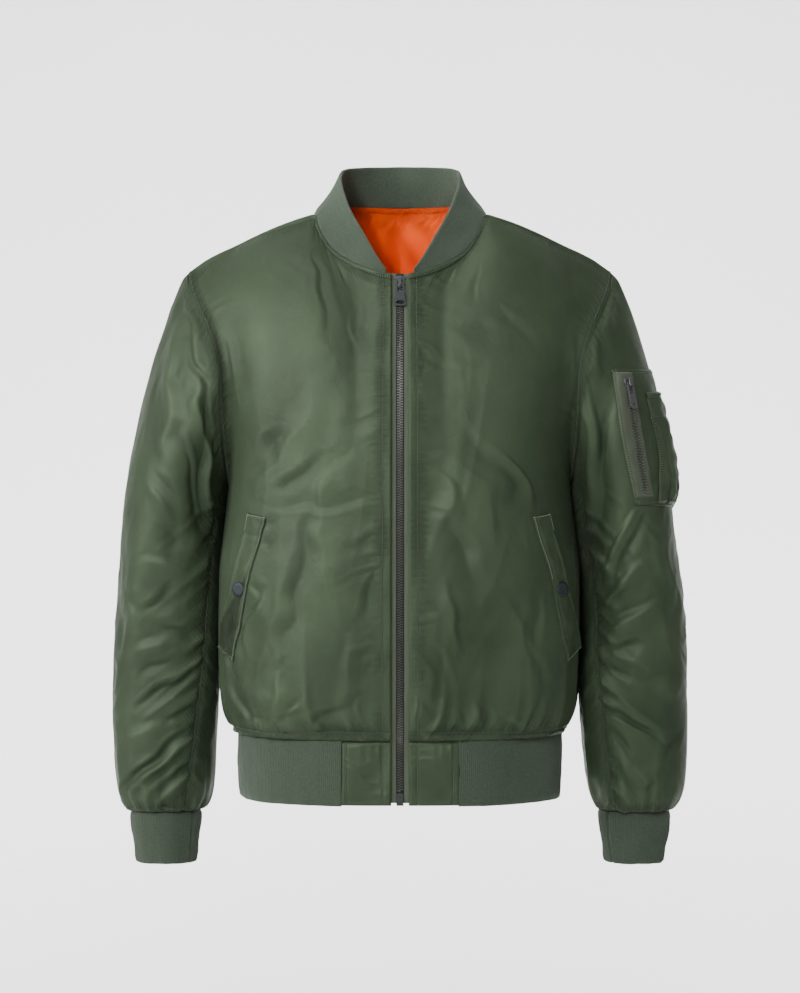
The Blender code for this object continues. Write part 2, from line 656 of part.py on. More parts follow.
# Fronts, back and sleeves as grids; the right side starts as the left one mirrored.
BODY_AXIS = (0.0, 0.0, -0.32)
front_form = half_panel(FRONT_ARMHOLE, FRONT_CENTRE, FRONT_NECK, "front_depth", ZIP_EDGE, -1.0,
                        FRONT_BULGE)
back_form = half_panel(BACK_ARMHOLE, BACK_CENTRE, BACK_NECK, "back_depth", 0.0, 1.0, BACK_BULGE)
sleeve_form = sleeve_grid()
SLEEVE_AXIS = (0.25, 0.008, -0.36)
COLLAR_AXIS = (0.0, -0.01, 0.01)

front_out = grid_normals(front_form, BODY_AXIS, False)
front_left = gather(press(front_form, front_out, FRONT_FOLDS), front_out, FRONT_GATHERS, 1, 0)
front_right = mirrored(front_left)

back_form = np.concatenate([back_form, mirrored(back_form[:, -2::-1])], axis=1)
back_out = grid_normals(back_form, BODY_AXIS, False)
back = gather(press(back_form, back_out, BACK_FOLDS), back_out, FRONT_GATHERS + FRONT_GATHERS[::-1],
              1, 0)

sleeve_out = grid_normals(sleeve_form, SLEEVE_AXIS, True)
sleeve_left = gather(press(sleeve_form, sleeve_out, SLEEVE_FOLDS), sleeve_out, CUFF_GATHERS, 1, -1)
sleeve_right = mirrored(sleeve_left)

# Rib collar, standing on the neckline from one zip edge round the back to the other.
front_top, back_top = front_left[-1], back[-1, :HALF_CELLS + 1]
corner = front_top[-1] + COLLAR_START * (front_top[-2] - front_top[-1])
neck_half = np.concatenate([[corner], front_top[-2:SHOULDER_CELLS - 1:-1],
                            back_top[SHOULDER_CELLS + 1:]])
lengths = np.linalg.norm(np.diff(neck_half, axis=0), axis=1)
marks = np.concatenate([[0.0], np.cumsum(lengths)]) / lengths.sum()
top_line = curve_through(COLLAR_TOP, 200)
top_half = np.stack([np.interp(marks, np.linspace(0.0, 1.0, 201), top_line[:, i]) for i in range(3)],
                    axis=1)
foot_line = np.concatenate([neck_half, mirrored(neck_half[-2::-1])])
crown_line = np.concatenate([top_half, mirrored(top_half[-2::-1])])
collar_rise = np.linalg.norm(crown_line - foot_line, axis=1)
foot_line += COLLAR_SPACE * (crown_line - foot_line) / collar_rise[:, None]
shares = np.linspace(0.0, 1.0, COLLAR_ROWS + 1)
collar = foot_line + shares[:, None, None] * (crown_line - foot_line)
collar_out = grid_normals(collar, COLLAR_AXIS, False)
swell = COLLAR_BULGE * np.outer(np.sin(math.pi * shares), collar_rise / collar_rise.max())
collar = collar + collar_out * swell[..., None]

# Seams: the walls of two joined pieces lean alike along the seam and stop short of it.
ARMPIT = len(BODY_SECTIONS) - 1
SHOULDER = slice(0, SHOULDER_CELLS + 1)
back_lean = eased(grid_normals(back, BODY_AXIS, False), False)
collar_lean = eased(grid_normals(collar, COLLAR_AXIS, False), False)
for side, front, sleeve, way in (("left", front_left, sleeve_left, 1.0),
                                 ("right", front_right, sleeve_right, -1.0)):
    front_lean = eased(grid_normals(front, BODY_AXIS, False), False)
    sleeve_lean = eased(grid_normals(sleeve, (way * 0.25, 0.008, -0.36), True), True)
    back_half = back_lean if way > 0 else back_lean[:, ::-1]
    armhole_lean = sleeve_lean[0].copy()
    front_edge, back_edge = front_lean[:, 0].copy(), back_half[:, 0].copy()
    for row in range(ARMPIT):
        front_lean[row, 0] = back_half[row, 0] = meet(front_edge[row], back_edge[row])
    front_lean[-1, SHOULDER] = meet(front_lean[-1, SHOULDER], back_half[-1, SHOULDER])
    back_half[-1, SHOULDER] = front_lean[-1, SHOULDER]
    for step in range(ARMHOLE_ROWS + 1):
        ahead, behind = ARMHOLE_ROWS - step, (ARMHOLE_ROWS + step) % (2 * ARMHOLE_ROWS)
        front_lean[ARMPIT + step, 0] = meet(front_edge[ARMPIT + step], armhole_lean[ahead])
        back_half[ARMPIT + step, 0] = meet(back_edge[ARMPIT + step], armhole_lean[behind])
        sleeve_lean[0, ahead] = meet(armhole_lean[ahead], front_edge[ARMPIT + step])
        sleeve_lean[0, behind] = meet(armhole_lean[behind], back_edge[ARMPIT + step])
    shoulder_lean = front_edge[-1] + back_edge[-1] + armhole_lean[0]
    shoulder_lean /= np.linalg.norm(shoulder_lean)
    front_lean[-1, 0] = back_half[-1, 0] = sleeve_lean[0, 0] = shoulder_lean
    neck_lean = np.concatenate([front_lean[-1, :SHOULDER_CELLS - 1:-1],
                                back_half[-1, SHOULDER_CELLS + 1:HALF_CELLS + 1]])
    if way > 0:
        collar_lean[0, :len(neck_lean)] = neck_lean
    else:
        collar_lean[0, ::-1][:len(neck_lean)] = neck_lean
    draw_back(front, rows=(-1,), columns=(0,))
    shell("front_" + side, front, front_lean, NYLON_WALL, NYLON)
    shell("sleeve_" + side, sleeve, sleeve_lean, NYLON_WALL, NYLON, True)
draw_back(back, rows=(-1,), columns=(0, -1))
shell("back", back, back_lean, NYLON_WALL, NYLON)
collar_wall = RIB_WALL * (collar_rise / 0.014).clip(0.4, 1.0)
shell("collar", collar, collar_lean, collar_wall, KNIT)

# Rib cuffs.
cuff_left = np.array([ring(section, 0.0, 2 * ARMHOLE_ROWS) for section in CUFF_SECTIONS])
for side, way, cuff in (("left", 1.0, cuff_left), ("right", -1.0, mirrored(cuff_left))):
    lean = grid_normals(cuff, (way * 0.253, 0.003, -0.668), True)
    shell("cuff_" + side, cuff, lean, RIB_WALL, KNIT, True)

# Hem band: knit from end panel to end panel, nylon end panels beside the zip.
band_rows = []
for section in BAND_SECTIONS:
    half_front = quarter_section(section.height, section.half_width, section.front_depth, ZIP_EDGE,
                                 -1.0, 300)
    half_back = quarter_section(section.height, section.half_width, section.back_depth, 0.0, 1.0, 300)
    band_rows.append(np.concatenate([half_front[::-1], half_back[1:]]))
ends, ribs = [], []
for line in band_rows:
    run = np.concatenate([[0.0], np.cumsum(np.linalg.norm(np.diff(line, axis=0), axis=1))])
    near = run < BAND_END_WIDTH - SEAM_SPACE
    far = run > BAND_END_WIDTH + SEAM_SPACE
    ends.append(cut_evenly(line[near], BAND_END_CELLS))
    ribs.append(cut_evenly(line[far], RIB_HALF_CELLS))
end_left, rib_half = np.array(ends), np.array(ribs)
for side, end in (("left", end_left), ("right", mirrored(end_left))):
    shell("band_end_" + side, end, grid_normals(end, BODY_AXIS, False), NYLON_WALL, NYLON)
hem_rib = np.concatenate([rib_half, mirrored(rib_half[:, -2::-1])], axis=1)
shell("hem_rib", hem_rib, grid_normals(hem_rib, BODY_AXIS, False), RIB_WALL, KNIT)

# Lining of the back, inside its wall, clear of the seams.
lining = back[LINING_ROWS, LINING_CELLS].copy()
lining_lean = back_lean[LINING_ROWS, LINING_CELLS]
lining -= lining_lean * (NYLON_WALL + LINING_SPACE)
lining[-1] += 0.22 * (lining[-2] - lining[-1])
shell("lining_back", lining, lining_lean, LINING_WALL, LINING)

# Zip: tapes behind the folded edges, chain between them, box at the foot.
lean = grid_normals(front_form, BODY_AXIS, False)
face = [front_form[r, -1] for r in range(len(front_form) - 1, 0, -1)]
outs = [lean[r, -1] for r in range(len(front_form) - 1, 0, -1)]
inner = [front_form[r, -2] for r in range(len(front_form) - 1, 0, -1)]
for row in end_left[:, :2]:
    face.append(row[0])
    inner.append(row[1])
    outs.append(np.array([0.0, -1.0, 0.0]))
face, inner, outs = np.array(face), np.array(inner), np.array(outs)
outs[:, 0] = 0.0
outs /= np.linalg.norm(outs, axis=1, keepdims=True)
reach = (0.019 - ZIP_EDGE) / (inner[:, 0] - ZIP_EDGE)
near_chain = face.copy()
near_chain[:, 0] = CHAIN_HALF + 0.0004
under = face + (inner - face) * reach[:, None]
tape = np.stack([near_chain, face, under], axis=1)
tape -= outs[:, None] * (NYLON_WALL + 0.0006)
tape[0] += 0.12 * (tape[1] - tape[0])
tape[-1, :, 2] += 0.0025
tape_lean = np.repeat(outs[:, None], 3, axis=1)
shell("zip_tape_left", tape, tape_lean, TAPE_WALL, WEBBING)
shell("zip_tape_right", mirrored(tape), mirrored(tape_lean), TAPE_WALL, WEBBING)

middle = tape[:, 0] - outs * TAPE_WALL / 2
middle[:, 0] = 0.0
slope = (middle[0] - middle[1]) / np.linalg.norm(middle[0] - middle[1])
slider_spot = middle[0] - slope * 0.0062
teeth_top = slider_spot - slope * 0.0067
chain_rows = [teeth_top] + [spot for spot in middle[1:] if spot[2] < teeth_top[2] - 0.003]
chain_rows[-1] = chain_rows[-1] + np.array([0.0, 0.0, 0.0100])
chain_mid = np.array(chain_rows)
chain = np.stack([chain_mid + np.array([x, 0.0, 0.0]) for x in (-CHAIN_HALF, 0.0, CHAIN_HALF)], axis=1)
chain_lean = grid_normals(chain, BODY_AXIS, False)
shell("zip_chain", chain + chain_lean * CHAIN_WALL / 2, chain_lean, CHAIN_WALL, GUNMETAL)
box_y = float(middle[-1, 1])
box_outline = [(-0.0037, -0.6222), (0.0037, -0.6222), (0.0037, -0.6096), (-0.0037, -0.6096)]
prism("zip_box", box_outline, box_y - 0.0019, box_y + 0.0019, "y", GUNMETAL, Matrix.Identity(4))
slider_out = Vector((0.0, -float(slope[2]), float(slope[1])))
zip_fastener("zip_slider", "zip_pull", PULL_HALF_OUTLINE, PULL_HOLE, True,
             frame_at(slider_spot, slider_out, Vector(slope)))

# Pocket welts with their snap buttons.
for side, way, front in (("left", 1.0, front_left), ("right", -1.0, front_right)):
    tree = surface_tree(front)
    welt, lean = on_panel(tree, (0.0, 0.0), POCKET_WELT, 9, 3, way)
    welt = lift_clear(tree, (0.0, 0.0), welt, lean, OVERLAY_LIFT, way) + lean * OVERLAY_WALL
    shell("pocket_welt_" + side, welt, lean, OVERLAY_WALL, NYLON)
    spot, out = seat(surface_tree(welt), (0.0, 0.0), SNAP_ANGLE, SNAP_HEIGHT, way)
    place = frame_at(spot + out * 0.0006, out, (0.0, 0.0, 1.0))
    turns = [2 * math.pi * i / 16 for i in range(16)]
    points = [(r * math.cos(t), -h, r * math.sin(t)) for r, h in SNAP_PROFILE for t in turns]
    count = len(SNAP_PROFILE)
    faces = [(i * 16 + j, i * 16 + (j + 1) % 16, (i + 1) * 16 + (j + 1) % 16, (i + 1) * 16 + j)
             for i in range(count - 1) for j in range(16)]
    faces += [tuple(range(15, -1, -1)), tuple((count - 1) * 16 + j for j in range(16))]
    snap = new_object("snap_" + side, points, faces, GUNMETAL)
    snap.matrix_world = place
    form = bmesh.new()
    form.from_mesh(snap.data)
    bmesh.ops.recalc_face_normals(form, faces=form.faces)
    form.to_mesh(snap.data)
    form.free()

# Utility pocket on the wearer's left sleeve, its zip and the pen pocket beside it.
tree = surface_tree(sleeve_left, True)
panel, lean = on_panel(tree, ARM_AXIS, SLEEVE_POCKET, 9, 9, 1.0)
panel = lift_clear(tree, ARM_AXIS, panel, lean, OVERLAY_LIFT, 1.0) + lean * OVERLAY_WALL
shell("sleeve_pocket", panel, lean, OVERLAY_WALL, NYLON)
pocket_tree = surface_tree(panel)
tape, lean = on_panel(pocket_tree, ARM_AXIS, SLEEVE_ZIP, 9, 2, 1.0)
tape = lift_clear(pocket_tree, ARM_AXIS, tape, lean, OVERLAY_LIFT, 1.0) + lean * TAPE_WALL
shell("sleeve_zip_tape", tape, lean, TAPE_WALL, WEBBING)
tape_tree = surface_tree(tape)
teeth, lean = on_panel(tape_tree, ARM_AXIS, SLEEVE_TEETH, 9, 1, 1.0)
teeth = lift_clear(tape_tree, ARM_AXIS, teeth, lean, OVERLAY_LIFT, 1.0) + lean * TEETH_WALL
shell("sleeve_zip_chain", teeth, lean, TEETH_WALL, GUNMETAL)
low_spot, _ = seat(tape_tree, ARM_AXIS, 89.1, -0.1950, 1.0)
high_spot, out = seat(tape_tree, ARM_AXIS, 90.8, -0.1780, 1.0)
sleeve_slider_spot = 0.35 * low_spot + 0.65 * high_spot - 0.0001 * out
zip_fastener("sleeve_zip_slider", "sleeve_zip_pull", SLEEVE_PULL_HALF_OUTLINE, SLEEVE_PULL_HOLE,
             False, frame_at(sleeve_slider_spot, out, Vector(high_spot - low_spot)))
pen, lean = on_panel(pocket_tree, ARM_AXIS, PEN_POCKET, 8, 7, 1.0)
pen = lift_clear(pocket_tree, ARM_AXIS, pen, lean, OVERLAY_LIFT, 1.0)
down = np.linspace(0.0, 1.0, pen.shape[0])
swell = np.outer((0.35 + 0.9 * down) * (1 - down**8), np.sin(np.linspace(0.0, math.pi, pen.shape[1])))
pen = pen + lean * (OVERLAY_WALL + PEN_BULGE * swell[..., None])
shell("pen_pocket", pen, grid_normals(pen, (0.240, 0.005, -0.25), False), OVERLAY_WALL, NYLON)
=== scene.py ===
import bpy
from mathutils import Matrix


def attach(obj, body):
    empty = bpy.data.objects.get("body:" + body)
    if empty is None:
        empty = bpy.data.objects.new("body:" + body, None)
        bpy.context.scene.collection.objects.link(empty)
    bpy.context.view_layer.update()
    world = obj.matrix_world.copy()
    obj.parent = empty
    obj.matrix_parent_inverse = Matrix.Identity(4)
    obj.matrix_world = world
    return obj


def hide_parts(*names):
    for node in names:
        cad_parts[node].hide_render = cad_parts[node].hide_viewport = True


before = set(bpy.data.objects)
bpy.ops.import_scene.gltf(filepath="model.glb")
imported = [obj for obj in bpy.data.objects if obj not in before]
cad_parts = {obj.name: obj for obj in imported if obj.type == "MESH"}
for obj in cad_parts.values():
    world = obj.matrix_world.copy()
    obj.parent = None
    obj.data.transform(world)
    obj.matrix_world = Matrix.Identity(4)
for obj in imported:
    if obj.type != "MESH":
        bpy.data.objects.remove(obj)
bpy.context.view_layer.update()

import math
from collections import namedtuple

import bmesh
import bpy
import numpy as np
from mathutils import Matrix, Vector
from mathutils.bvhtree import BVHTree

# FRONTS
# Two front panels of padded satin nylon over orange lining, joined by the zip. Their folded
# edges are topstitched beside the teeth, and each hem is gathered under a stitched casing.
# Sections run from the hem up to the armpit, edges from there up to shoulder and neck.


def table(kind, *rows):
    """Named rows of lengths that are given in tenths of a millimetre."""
    return [kind(*(length / 10000 for length in row)) for row in rows]


Section = namedtuple("Section", "height half_width front_depth back_depth")
BODY_SECTIONS = table(
    Section,
    (-5558, 1745, 1290, 1250), (-5510, 1785, 1312, 1295), (-5430, 1840, 1340, 1350),
    (-5300, 1890, 1370, 1395), (-5100, 1915, 1392, 1420), (-4800, 1920, 1408, 1425),
    (-4450, 1920, 1420, 1420), (-4100, 1915, 1428, 1412), (-3750, 1908, 1428, 1402),
    (-3450, 1892, 1422, 1392), (-3200, 1862, 1415, 1385), (-2970, 1830, 1405, 1378),
)
Spot = namedtuple("Spot", "x y z")
FRONT_ARMHOLE = table(
    Spot,
    (1830, 0, -2970), (1845, -300, -2800), (1868, -580, -2480), (1885, -740, -2120),
    (1890, -800, -1800), (1930, -780, -1560), (2010, -700, -1360), (2100, -580, -1170),
    (2255, -280, -840), (2310, -40, -630),
)
SHOULDER_SEAM = table(
    Spot,
    (2310, -40, -630), (2050, -80, -455), (1780, -120, -340), (1570, -160, -245), (1255, -200, -112),
    (985, -220, -24), (905, -220, -8),
)
FRONT_NECK = table(
    Spot,
    (905, -220, -8), (865, -370, -170), (721, -560, -404), (548, -710, -528), (378, -820, -611),
    (188, -890, -671), (90, -910, -695),
)
FRONT_CENTRE = table(
    Spot,
    (90, -1405, -2970), (90, -1370, -2400), (90, -1290, -1800), (90, -1150, -1250), (90, -910, -695),
)
FRONT_BULGE = (0.0, -0.010, 0.028)
SECTION_POWER = 2.45
ZIP_EDGE = 0.009
ARMPIT_HEIGHT, ARMHOLE_FOOT = -0.297, -0.300
HALF_CELLS, ARMHOLE_CELLS, SHOULDER_CELLS = 20, 10, 11
BODY_AXIS = (0.0, 0.0, -0.32)
MIRROR = np.array([-1.0, 1.0, 1.0])
FULL_TURN = 2 * math.pi
NYLON_WALL = 0.0020
# Crease height at which the lift attribute paints the cloth's colour fully light on ridges or fully dark in
# troughs: painted highlight and shade.
SHADE_RANGE = 0.004
LONG_FOLDS = np.array([1.0, 1.0, 0.45])
CASING_HEIGHT, PLACKET_STITCH = 0.0088, 0.0092
# Puckers along a seam: how far apart, how high and how far they reach into the cloth.
Pucker = namedtuple("Pucker", "wave rise reach")
GATHERS = Pucker(0.0088, 0.55, 0.016), Pucker(0.0210, 0.90, 0.036), Pucker(0.0430, 1.00, 0.070)
PLACKET_PUCKERS = Pucker(0.0085, 0.0009, 0.0110), Pucker(0.0230, 0.0012, 0.0240)
ARMHOLE_PUCKER, FRONT_TOP_PUCKER = Pucker(0.0150, 0.0011, 0.0170), Pucker(0.0180, 0.0010, 0.0160)
# Grooves that seams and stitch rows press into the cloth.
Groove = namedtuple("Groove", "depth width")
SIDE_GROOVE, RIB_SEAM_GROOVE = Groove(0.0012, 0.0030), Groove(0.0010, 0.0020)
FRONT_TOP_GROOVE, COLLAR_BAND_GROOVE = Groove(0.0012, 0.0014), Groove(0.0012, 0.0009)
CASING_GROOVE, PLACKET_GROOVE = Groove(0.0013, 0.0012), Groove(0.0004, 0.0012)
EDGE_GROOVE = Groove(0.0010, 0.0012)


def bell(away, width, power=2):
    """1 on a line, falling smoothly to nothing beyond it; a higher power makes it flatter on top."""
    return np.exp(-(away / width) ** power)


def step_up(value, width):
    """From 0 below to 1 above, softly over the given width."""
    return 1 / (1 + np.exp(-value / width))


def turns(count):
    """Angles of a full turn cut into equal steps."""
    return np.arange(count) * FULL_TURN / count


def run_along(line):
    """How far each point of a line lies from its start."""
    return np.concatenate([[0.0], np.cumsum(np.linalg.norm(np.diff(line, axis=0), axis=1))])


def points_at(marks, run, line):
    """Points of a line at the given lengths along it."""
    return np.stack([np.interp(marks, run, line[:, axis]) for axis in range(3)], axis=1)


def cut_evenly(line, cells):
    run = run_along(line)
    return points_at(np.linspace(0.0, run[-1], cells + 1), run, line)


def blended(t, start, end, leave, arrive):
    """Smooth way between two places that leaves and arrives in the given directions."""
    return ((2 * t**3 - 3 * t**2 + 1) * start + (3 * t**2 - 2 * t**3) * end
            + ((t**3 - 2 * t**2 + t) * leave + (t**3 - t**2) * arrive))


def curve_through(points, cells):
    """Smooth curve through the points, cut into cells of equal length."""
    knots = np.array(points, float)
    gaps = np.linalg.norm(np.diff(knots, axis=0), axis=1)
    slopes = np.gradient(knots, np.concatenate([[0.0], np.cumsum(gaps)]), axis=0)
    t = np.linspace(0.0, 1.0, 24, endpoint=False)[:, None]
    fine = [blended(t, knots[i], knots[i + 1], gap * slopes[i], gap * slopes[i + 1])
            for i, gap in enumerate(gaps)]
    return cut_evenly(np.concatenate(fine + [knots[-1:]]), cells)


def quarter_section(height, half_width, depth, edge, side, cells):
    """Level line from the side seam to the centre, towards -Y on the front."""
    turn = np.linspace(0.0, math.pi / 2, 200)
    cosine, sine = np.cos(turn).clip(0.0), np.sin(turn)
    reach = (cosine**SECTION_POWER + sine**SECTION_POWER) ** (-1.0 / SECTION_POWER)
    x = edge + (half_width - edge) * reach * cosine
    return cut_evenly(np.stack([x, side * depth * reach * sine, np.full_like(x, height)], axis=1), cells)


def half_panel(armhole, centre, neck, depth_name, edge, side, bulge):
    """Half a front or back, from the hem row up and from the side seam to the centre."""
    rows = np.array([quarter_section(s.height, s.half_width, getattr(s, depth_name), edge, side,
                                     HALF_CELLS) for s in BODY_SECTIONS])
    neckline = curve_through(neck, HALF_CELLS - SHOULDER_CELLS)
    top = np.concatenate([curve_through(SHOULDER_SEAM, SHOULDER_CELLS), neckline[1:]])
    low, left, right = rows[-1], curve_through(armhole, ARMHOLE_CELLS), curve_through(centre, ARMHOLE_CELLS)
    across = np.linspace(0.0, 1.0, HALF_CELLS + 1)[None, :, None]
    up = np.linspace(0.0, 1.0, ARMHOLE_CELLS + 1)[:, None, None]
    corners = ((1 - up) * ((1 - across) * low[0] + across * low[-1])
               + up * ((1 - across) * top[0] + across * top[-1]))
    upper = ((1 - up) * low + up * top + (1 - across) * left[:, None] + across * right[:, None]) - corners
    grid = np.concatenate([rows, upper[1:]])
    share = np.zeros(len(grid) - 2)
    share[len(rows) - 4:] = 0.5
    for _ in range(30):
        mean = (grid[:-2, 1:-1] + grid[2:, 1:-1] + grid[1:-1, :-2] + grid[1:-1, 2:]) / 4
        grid[1:-1, 1:-1] += share[:, None, None] * (mean - grid[1:-1, 1:-1])
    climb = (np.arange(len(grid)) - len(rows) + 4).clip(0) / (ARMHOLE_CELLS + 3)
    swell = np.outer(np.sin(math.pi * climb**2.2),
                     np.sin(math.pi * (across[0, :, 0] / 0.85).clip(0.0, 1.0)))
    return grid + swell[..., None] * np.array(bulge)


def in_between(knots, marks, closed=False):
    """Points of the smooth line through the knots, at fractional places along it."""
    base = np.floor(marks).astype(int)
    if not closed:
        base = base.clip(0, len(knots) - 2)
    t = (marks - base).reshape((-1,) + (1,) * (knots.ndim - 1))
    if closed:
        a, b, c, d = (knots[(base + step) % len(knots)] for step in (-1, 0, 1, 2))
    else:
        longer = np.concatenate([2 * knots[:1] - knots[1:2], knots, 2 * knots[-1:] - knots[-2:-1]])
        a, b, c, d = (longer[base + step] for step in (0, 1, 2, 3))
    return b + 0.5 * t * (c - a + t * (2 * a - 5 * b + 4 * c - d + t * (3 * (b - c) + d - a)))


def spaced(length, cells, finer):
    """Marks along a length, closer together near both ends, where the seams are."""
    along = np.linspace(0.0, length, 1500)
    crowd = 1.0 + finer * (bell(along, 0.014) + bell(length - along, 0.014))
    total = np.cumsum(crowd) - crowd[0]
    return np.interp(np.linspace(0.0, total[-1], cells + 1), total, along)


def refine(grid, rows, cells, closed=False, finer_ends=0.0, finer_sides=0.0):
    """The same form with many more rows and cells, evenly far apart but for its edges."""
    gaps = np.linalg.norm(np.diff(grid, axis=0), axis=2).mean(axis=1)
    place = np.concatenate([[0.0], np.cumsum(gaps)])
    marks = np.interp(spaced(place[-1], rows, finer_ends), place, np.arange(len(grid)))
    tall = in_between(grid, marks)
    width = grid.shape[1] if closed else grid.shape[1] - 1
    reach = np.linalg.norm(np.diff(grid, axis=1), axis=2).sum(axis=1).mean()
    across = spaced(reach, cells, finer_sides) * width / reach
    wide = in_between(np.moveaxis(tall, 1, 0), across[:-1] if closed else across, closed)
    return np.moveaxis(wide, 0, 1)


# A cloth is its grid of points, the way out at each, and how far each lies across and along it.
Cloth = namedtuple("Cloth", "grid out run rise closed")


def measure(grid, axis_point, closed=False):
    if closed:
        across = np.roll(grid, -1, axis=1) - np.roll(grid, 1, axis=1)
        step = np.linalg.norm(np.roll(grid, -1, axis=1) - grid, axis=2)
        run = np.tile(np.arange(grid.shape[1]) * step.sum(axis=1).mean() / grid.shape[1], (len(grid), 1))
    else:
        across = np.gradient(grid, axis=1)
        step = np.linalg.norm(np.diff(grid, axis=1), axis=2)
        run = np.concatenate([np.zeros((len(grid), 1)), np.cumsum(step, axis=1)], axis=1)
    out = np.cross(across, np.gradient(grid, axis=0))
    out /= np.linalg.norm(out, axis=2, keepdims=True).clip(1e-12)
    if np.sum(out * (grid - np.array(axis_point))) < 0.0:
        out = -out
    climb = np.linalg.norm(np.diff(grid, axis=0), axis=2)
    rise = np.concatenate([np.zeros((1, grid.shape[1])), np.cumsum(climb, axis=0)])
    return Cloth(grid, out, run, rise, closed)


def moved_out(cloth, shift, axis_point):
    return measure(cloth.grid + cloth.out * shift[..., None], axis_point, cloth.closed)


def raised(cloth, shift, axis_point):
    """The cloth moved out by a shift, and still mapped as it lay before."""
    return moved_out(cloth, shift, axis_point)._replace(run=cloth.run, rise=cloth.rise)


def edge_distances(cloth):
    """How far each point lies from the first and last cell, and from the first and last row."""
    return cloth.run, cloth.run[:, -1:] - cloth.run, cloth.rise, cloth.rise[-1:] - cloth.rise


def ripple(points, wave, seed):
    """Smooth unevenness in space, about -1 to 1, with waves near the given length."""
    pick = np.random.default_rng(seed)
    total = np.zeros(points.shape[:-1])
    for _ in range(9):
        way = pick.normal(size=3)
        way *= FULL_TURN / (wave * pick.uniform(0.7, 1.5) * np.linalg.norm(way))
        total += np.sin(points @ way + pick.uniform(0.0, FULL_TURN))
    return total / 3.2


def crumpled(points, wave, seed):
    """Small sharp folds between softer hollows, as stiff thin cloth keeps them; about -1 to 1."""
    bent = points + 0.35 * wave * ripple(points, 1.7 * wave, seed)[..., None]
    fold = 1.0 - 2.2 * abs(ripple(bent, wave, seed + 500)) ** 0.85
    return fold * (0.55 + 0.45 * ripple(points, 3.1 * wave, seed + 700))


# Creases run from one place to another: heights and sideways places seen from the front or back.
Crease = namedtuple("Crease", "x z to_x to_z width rise bow")


def creased(cloth, creases, facing, seed, middle=0.005):
    """Height of the creases over a cloth: ridges or troughs, steep on one side and soft beyond."""
    shift = np.zeros(cloth.run.shape)
    wander_run = 0.0035 * ripple(cloth.grid, 0.045, seed)
    wander_rise = 0.0035 * ripple(cloth.grid, 0.050, seed + 1)
    hidden = np.where((cloth.grid[..., 1] - middle) * facing > 0.0, 0.0, 1.0)
    girth = cloth.run[0, -1] + cloth.run[0, 1]
    for one in creases:
        ends = []
        for x, z in ((one.x, one.z), (one.to_x, one.to_z)):
            away = (cloth.grid[..., 0] - x) ** 2 + (cloth.grid[..., 2] - z) ** 2 + hidden
            ends.append(np.unravel_index(np.argmin(away), away.shape))
        start = np.array([cloth.run[ends[0]], cloth.rise[ends[0]]])
        line = np.array([cloth.run[ends[1]], cloth.rise[ends[1]]]) - start
        if cloth.closed:
            line[0] = (line[0] + girth / 2) % girth - girth / 2
        length = max(np.hypot(*line), 1e-4)
        side, up = cloth.run + wander_run - start[0], cloth.rise + wander_rise - start[1]
        if cloth.closed:
            side = (side + girth / 2) % girth - girth / 2
        along = (side * line[0] + up * line[1]) / length**2
        held = along.clip(0.0, 1.0)
        across = (side * line[1] - up * line[0]) / length - one.bow * 4 * held * (1 - held)
        steep = 1.25 + 0.50 * np.tanh(across / (0.25 * one.width))
        q = steep * np.hypot(across, (along - held) * length) / (one.width * (0.75 + 0.5 * held))
        crest = np.exp(-np.hypot(q, 0.15) ** 1.25) - 0.26 * bell(q - 2.1, 0.85)
        shift += one.rise * np.sin(math.pi * (0.10 + 0.80 * held)) * crest
    return shift


def pucker(run, away, kind, seed):
    """Short ripples square to a seam, uneven along it, dying out away from it."""
    pick = np.random.default_rng(seed).uniform(0.0, FULL_TURN, 4)
    turn = FULL_TURN * run / kind.wave
    turn = turn + 1.4 * np.sin(turn / 3.7 + pick[0]) + 1.1 * np.sin(turn / 7.9 + pick[1])
    strength = 0.6 + 0.4 * np.sin(FULL_TURN * run / (kind.wave * 5.3) + pick[2])
    own_reach = kind.reach * (1.0 + 0.45 * np.sin(turn / 2.3 + pick[3]))
    pinned = 1.0 - bell(away, 0.0035)
    fold = 1.0 - 1.7 * abs(np.sin(turn / 2))
    return kind.rise * strength * fold * pinned * bell(away, own_reach, 1.4)


def gathered(run, away, seed, rise=0.0024):
    """Fullness drawn into a seam: small tucks at the seam that join into longer ones beyond it."""
    return rise * sum(pucker(run, away, kind, seed + k) for k, kind in enumerate(GATHERS))


def lining_under(base, out, shift, space=0.0024):
    """Lining that hangs smoothly just inside the deepest folds of the outer cloth."""
    low = shift
    for axis, reach in ((0, 5), (1, 4)):
        low = np.min([np.roll(low, step, axis) for step in range(-reach, reach + 1)], axis=0)
    for axis in (0, 1, 0, 1):
        low = np.roll(low, 1, axis) / 4 + low / 2 + np.roll(low, -1, axis) / 4
    return base + out * (low - space)[..., None]


def groove(away, kind):
    return -kind.depth * bell(away, kind.width)


def grid_quads(rows, cells, closed):
    low, left = np.meshgrid(np.arange(rows - 1), np.arange(cells if closed else cells - 1), indexing="ij")
    right = (left + 1) % cells
    quads = [low * cells + left, low * cells + right, (low + 1) * cells + right, (low + 1) * cells + left]
    return np.stack(quads, axis=-1).reshape(-1, 4)


def rim(outside, inside):
    """Narrow wall between an edge and its inner copy, which has every second point."""
    faces = []
    for k in range(len(inside) - 1):
        a, b, c = outside[2 * k:2 * k + 3]
        faces += [(a, b, inside[k]), (b, inside[k + 1], inside[k]), (b, c, inside[k + 1])]
    return faces


def new_object(name, data):
    made = bpy.data.objects.new(name, data)
    bpy.context.scene.collection.objects.link(made)
    return made


def turn_outwards(mesh):
    form = bmesh.new()
    form.from_mesh(mesh)
    bmesh.ops.recalc_face_normals(form, faces=form.faces)
    form.to_mesh(mesh)
    form.free()


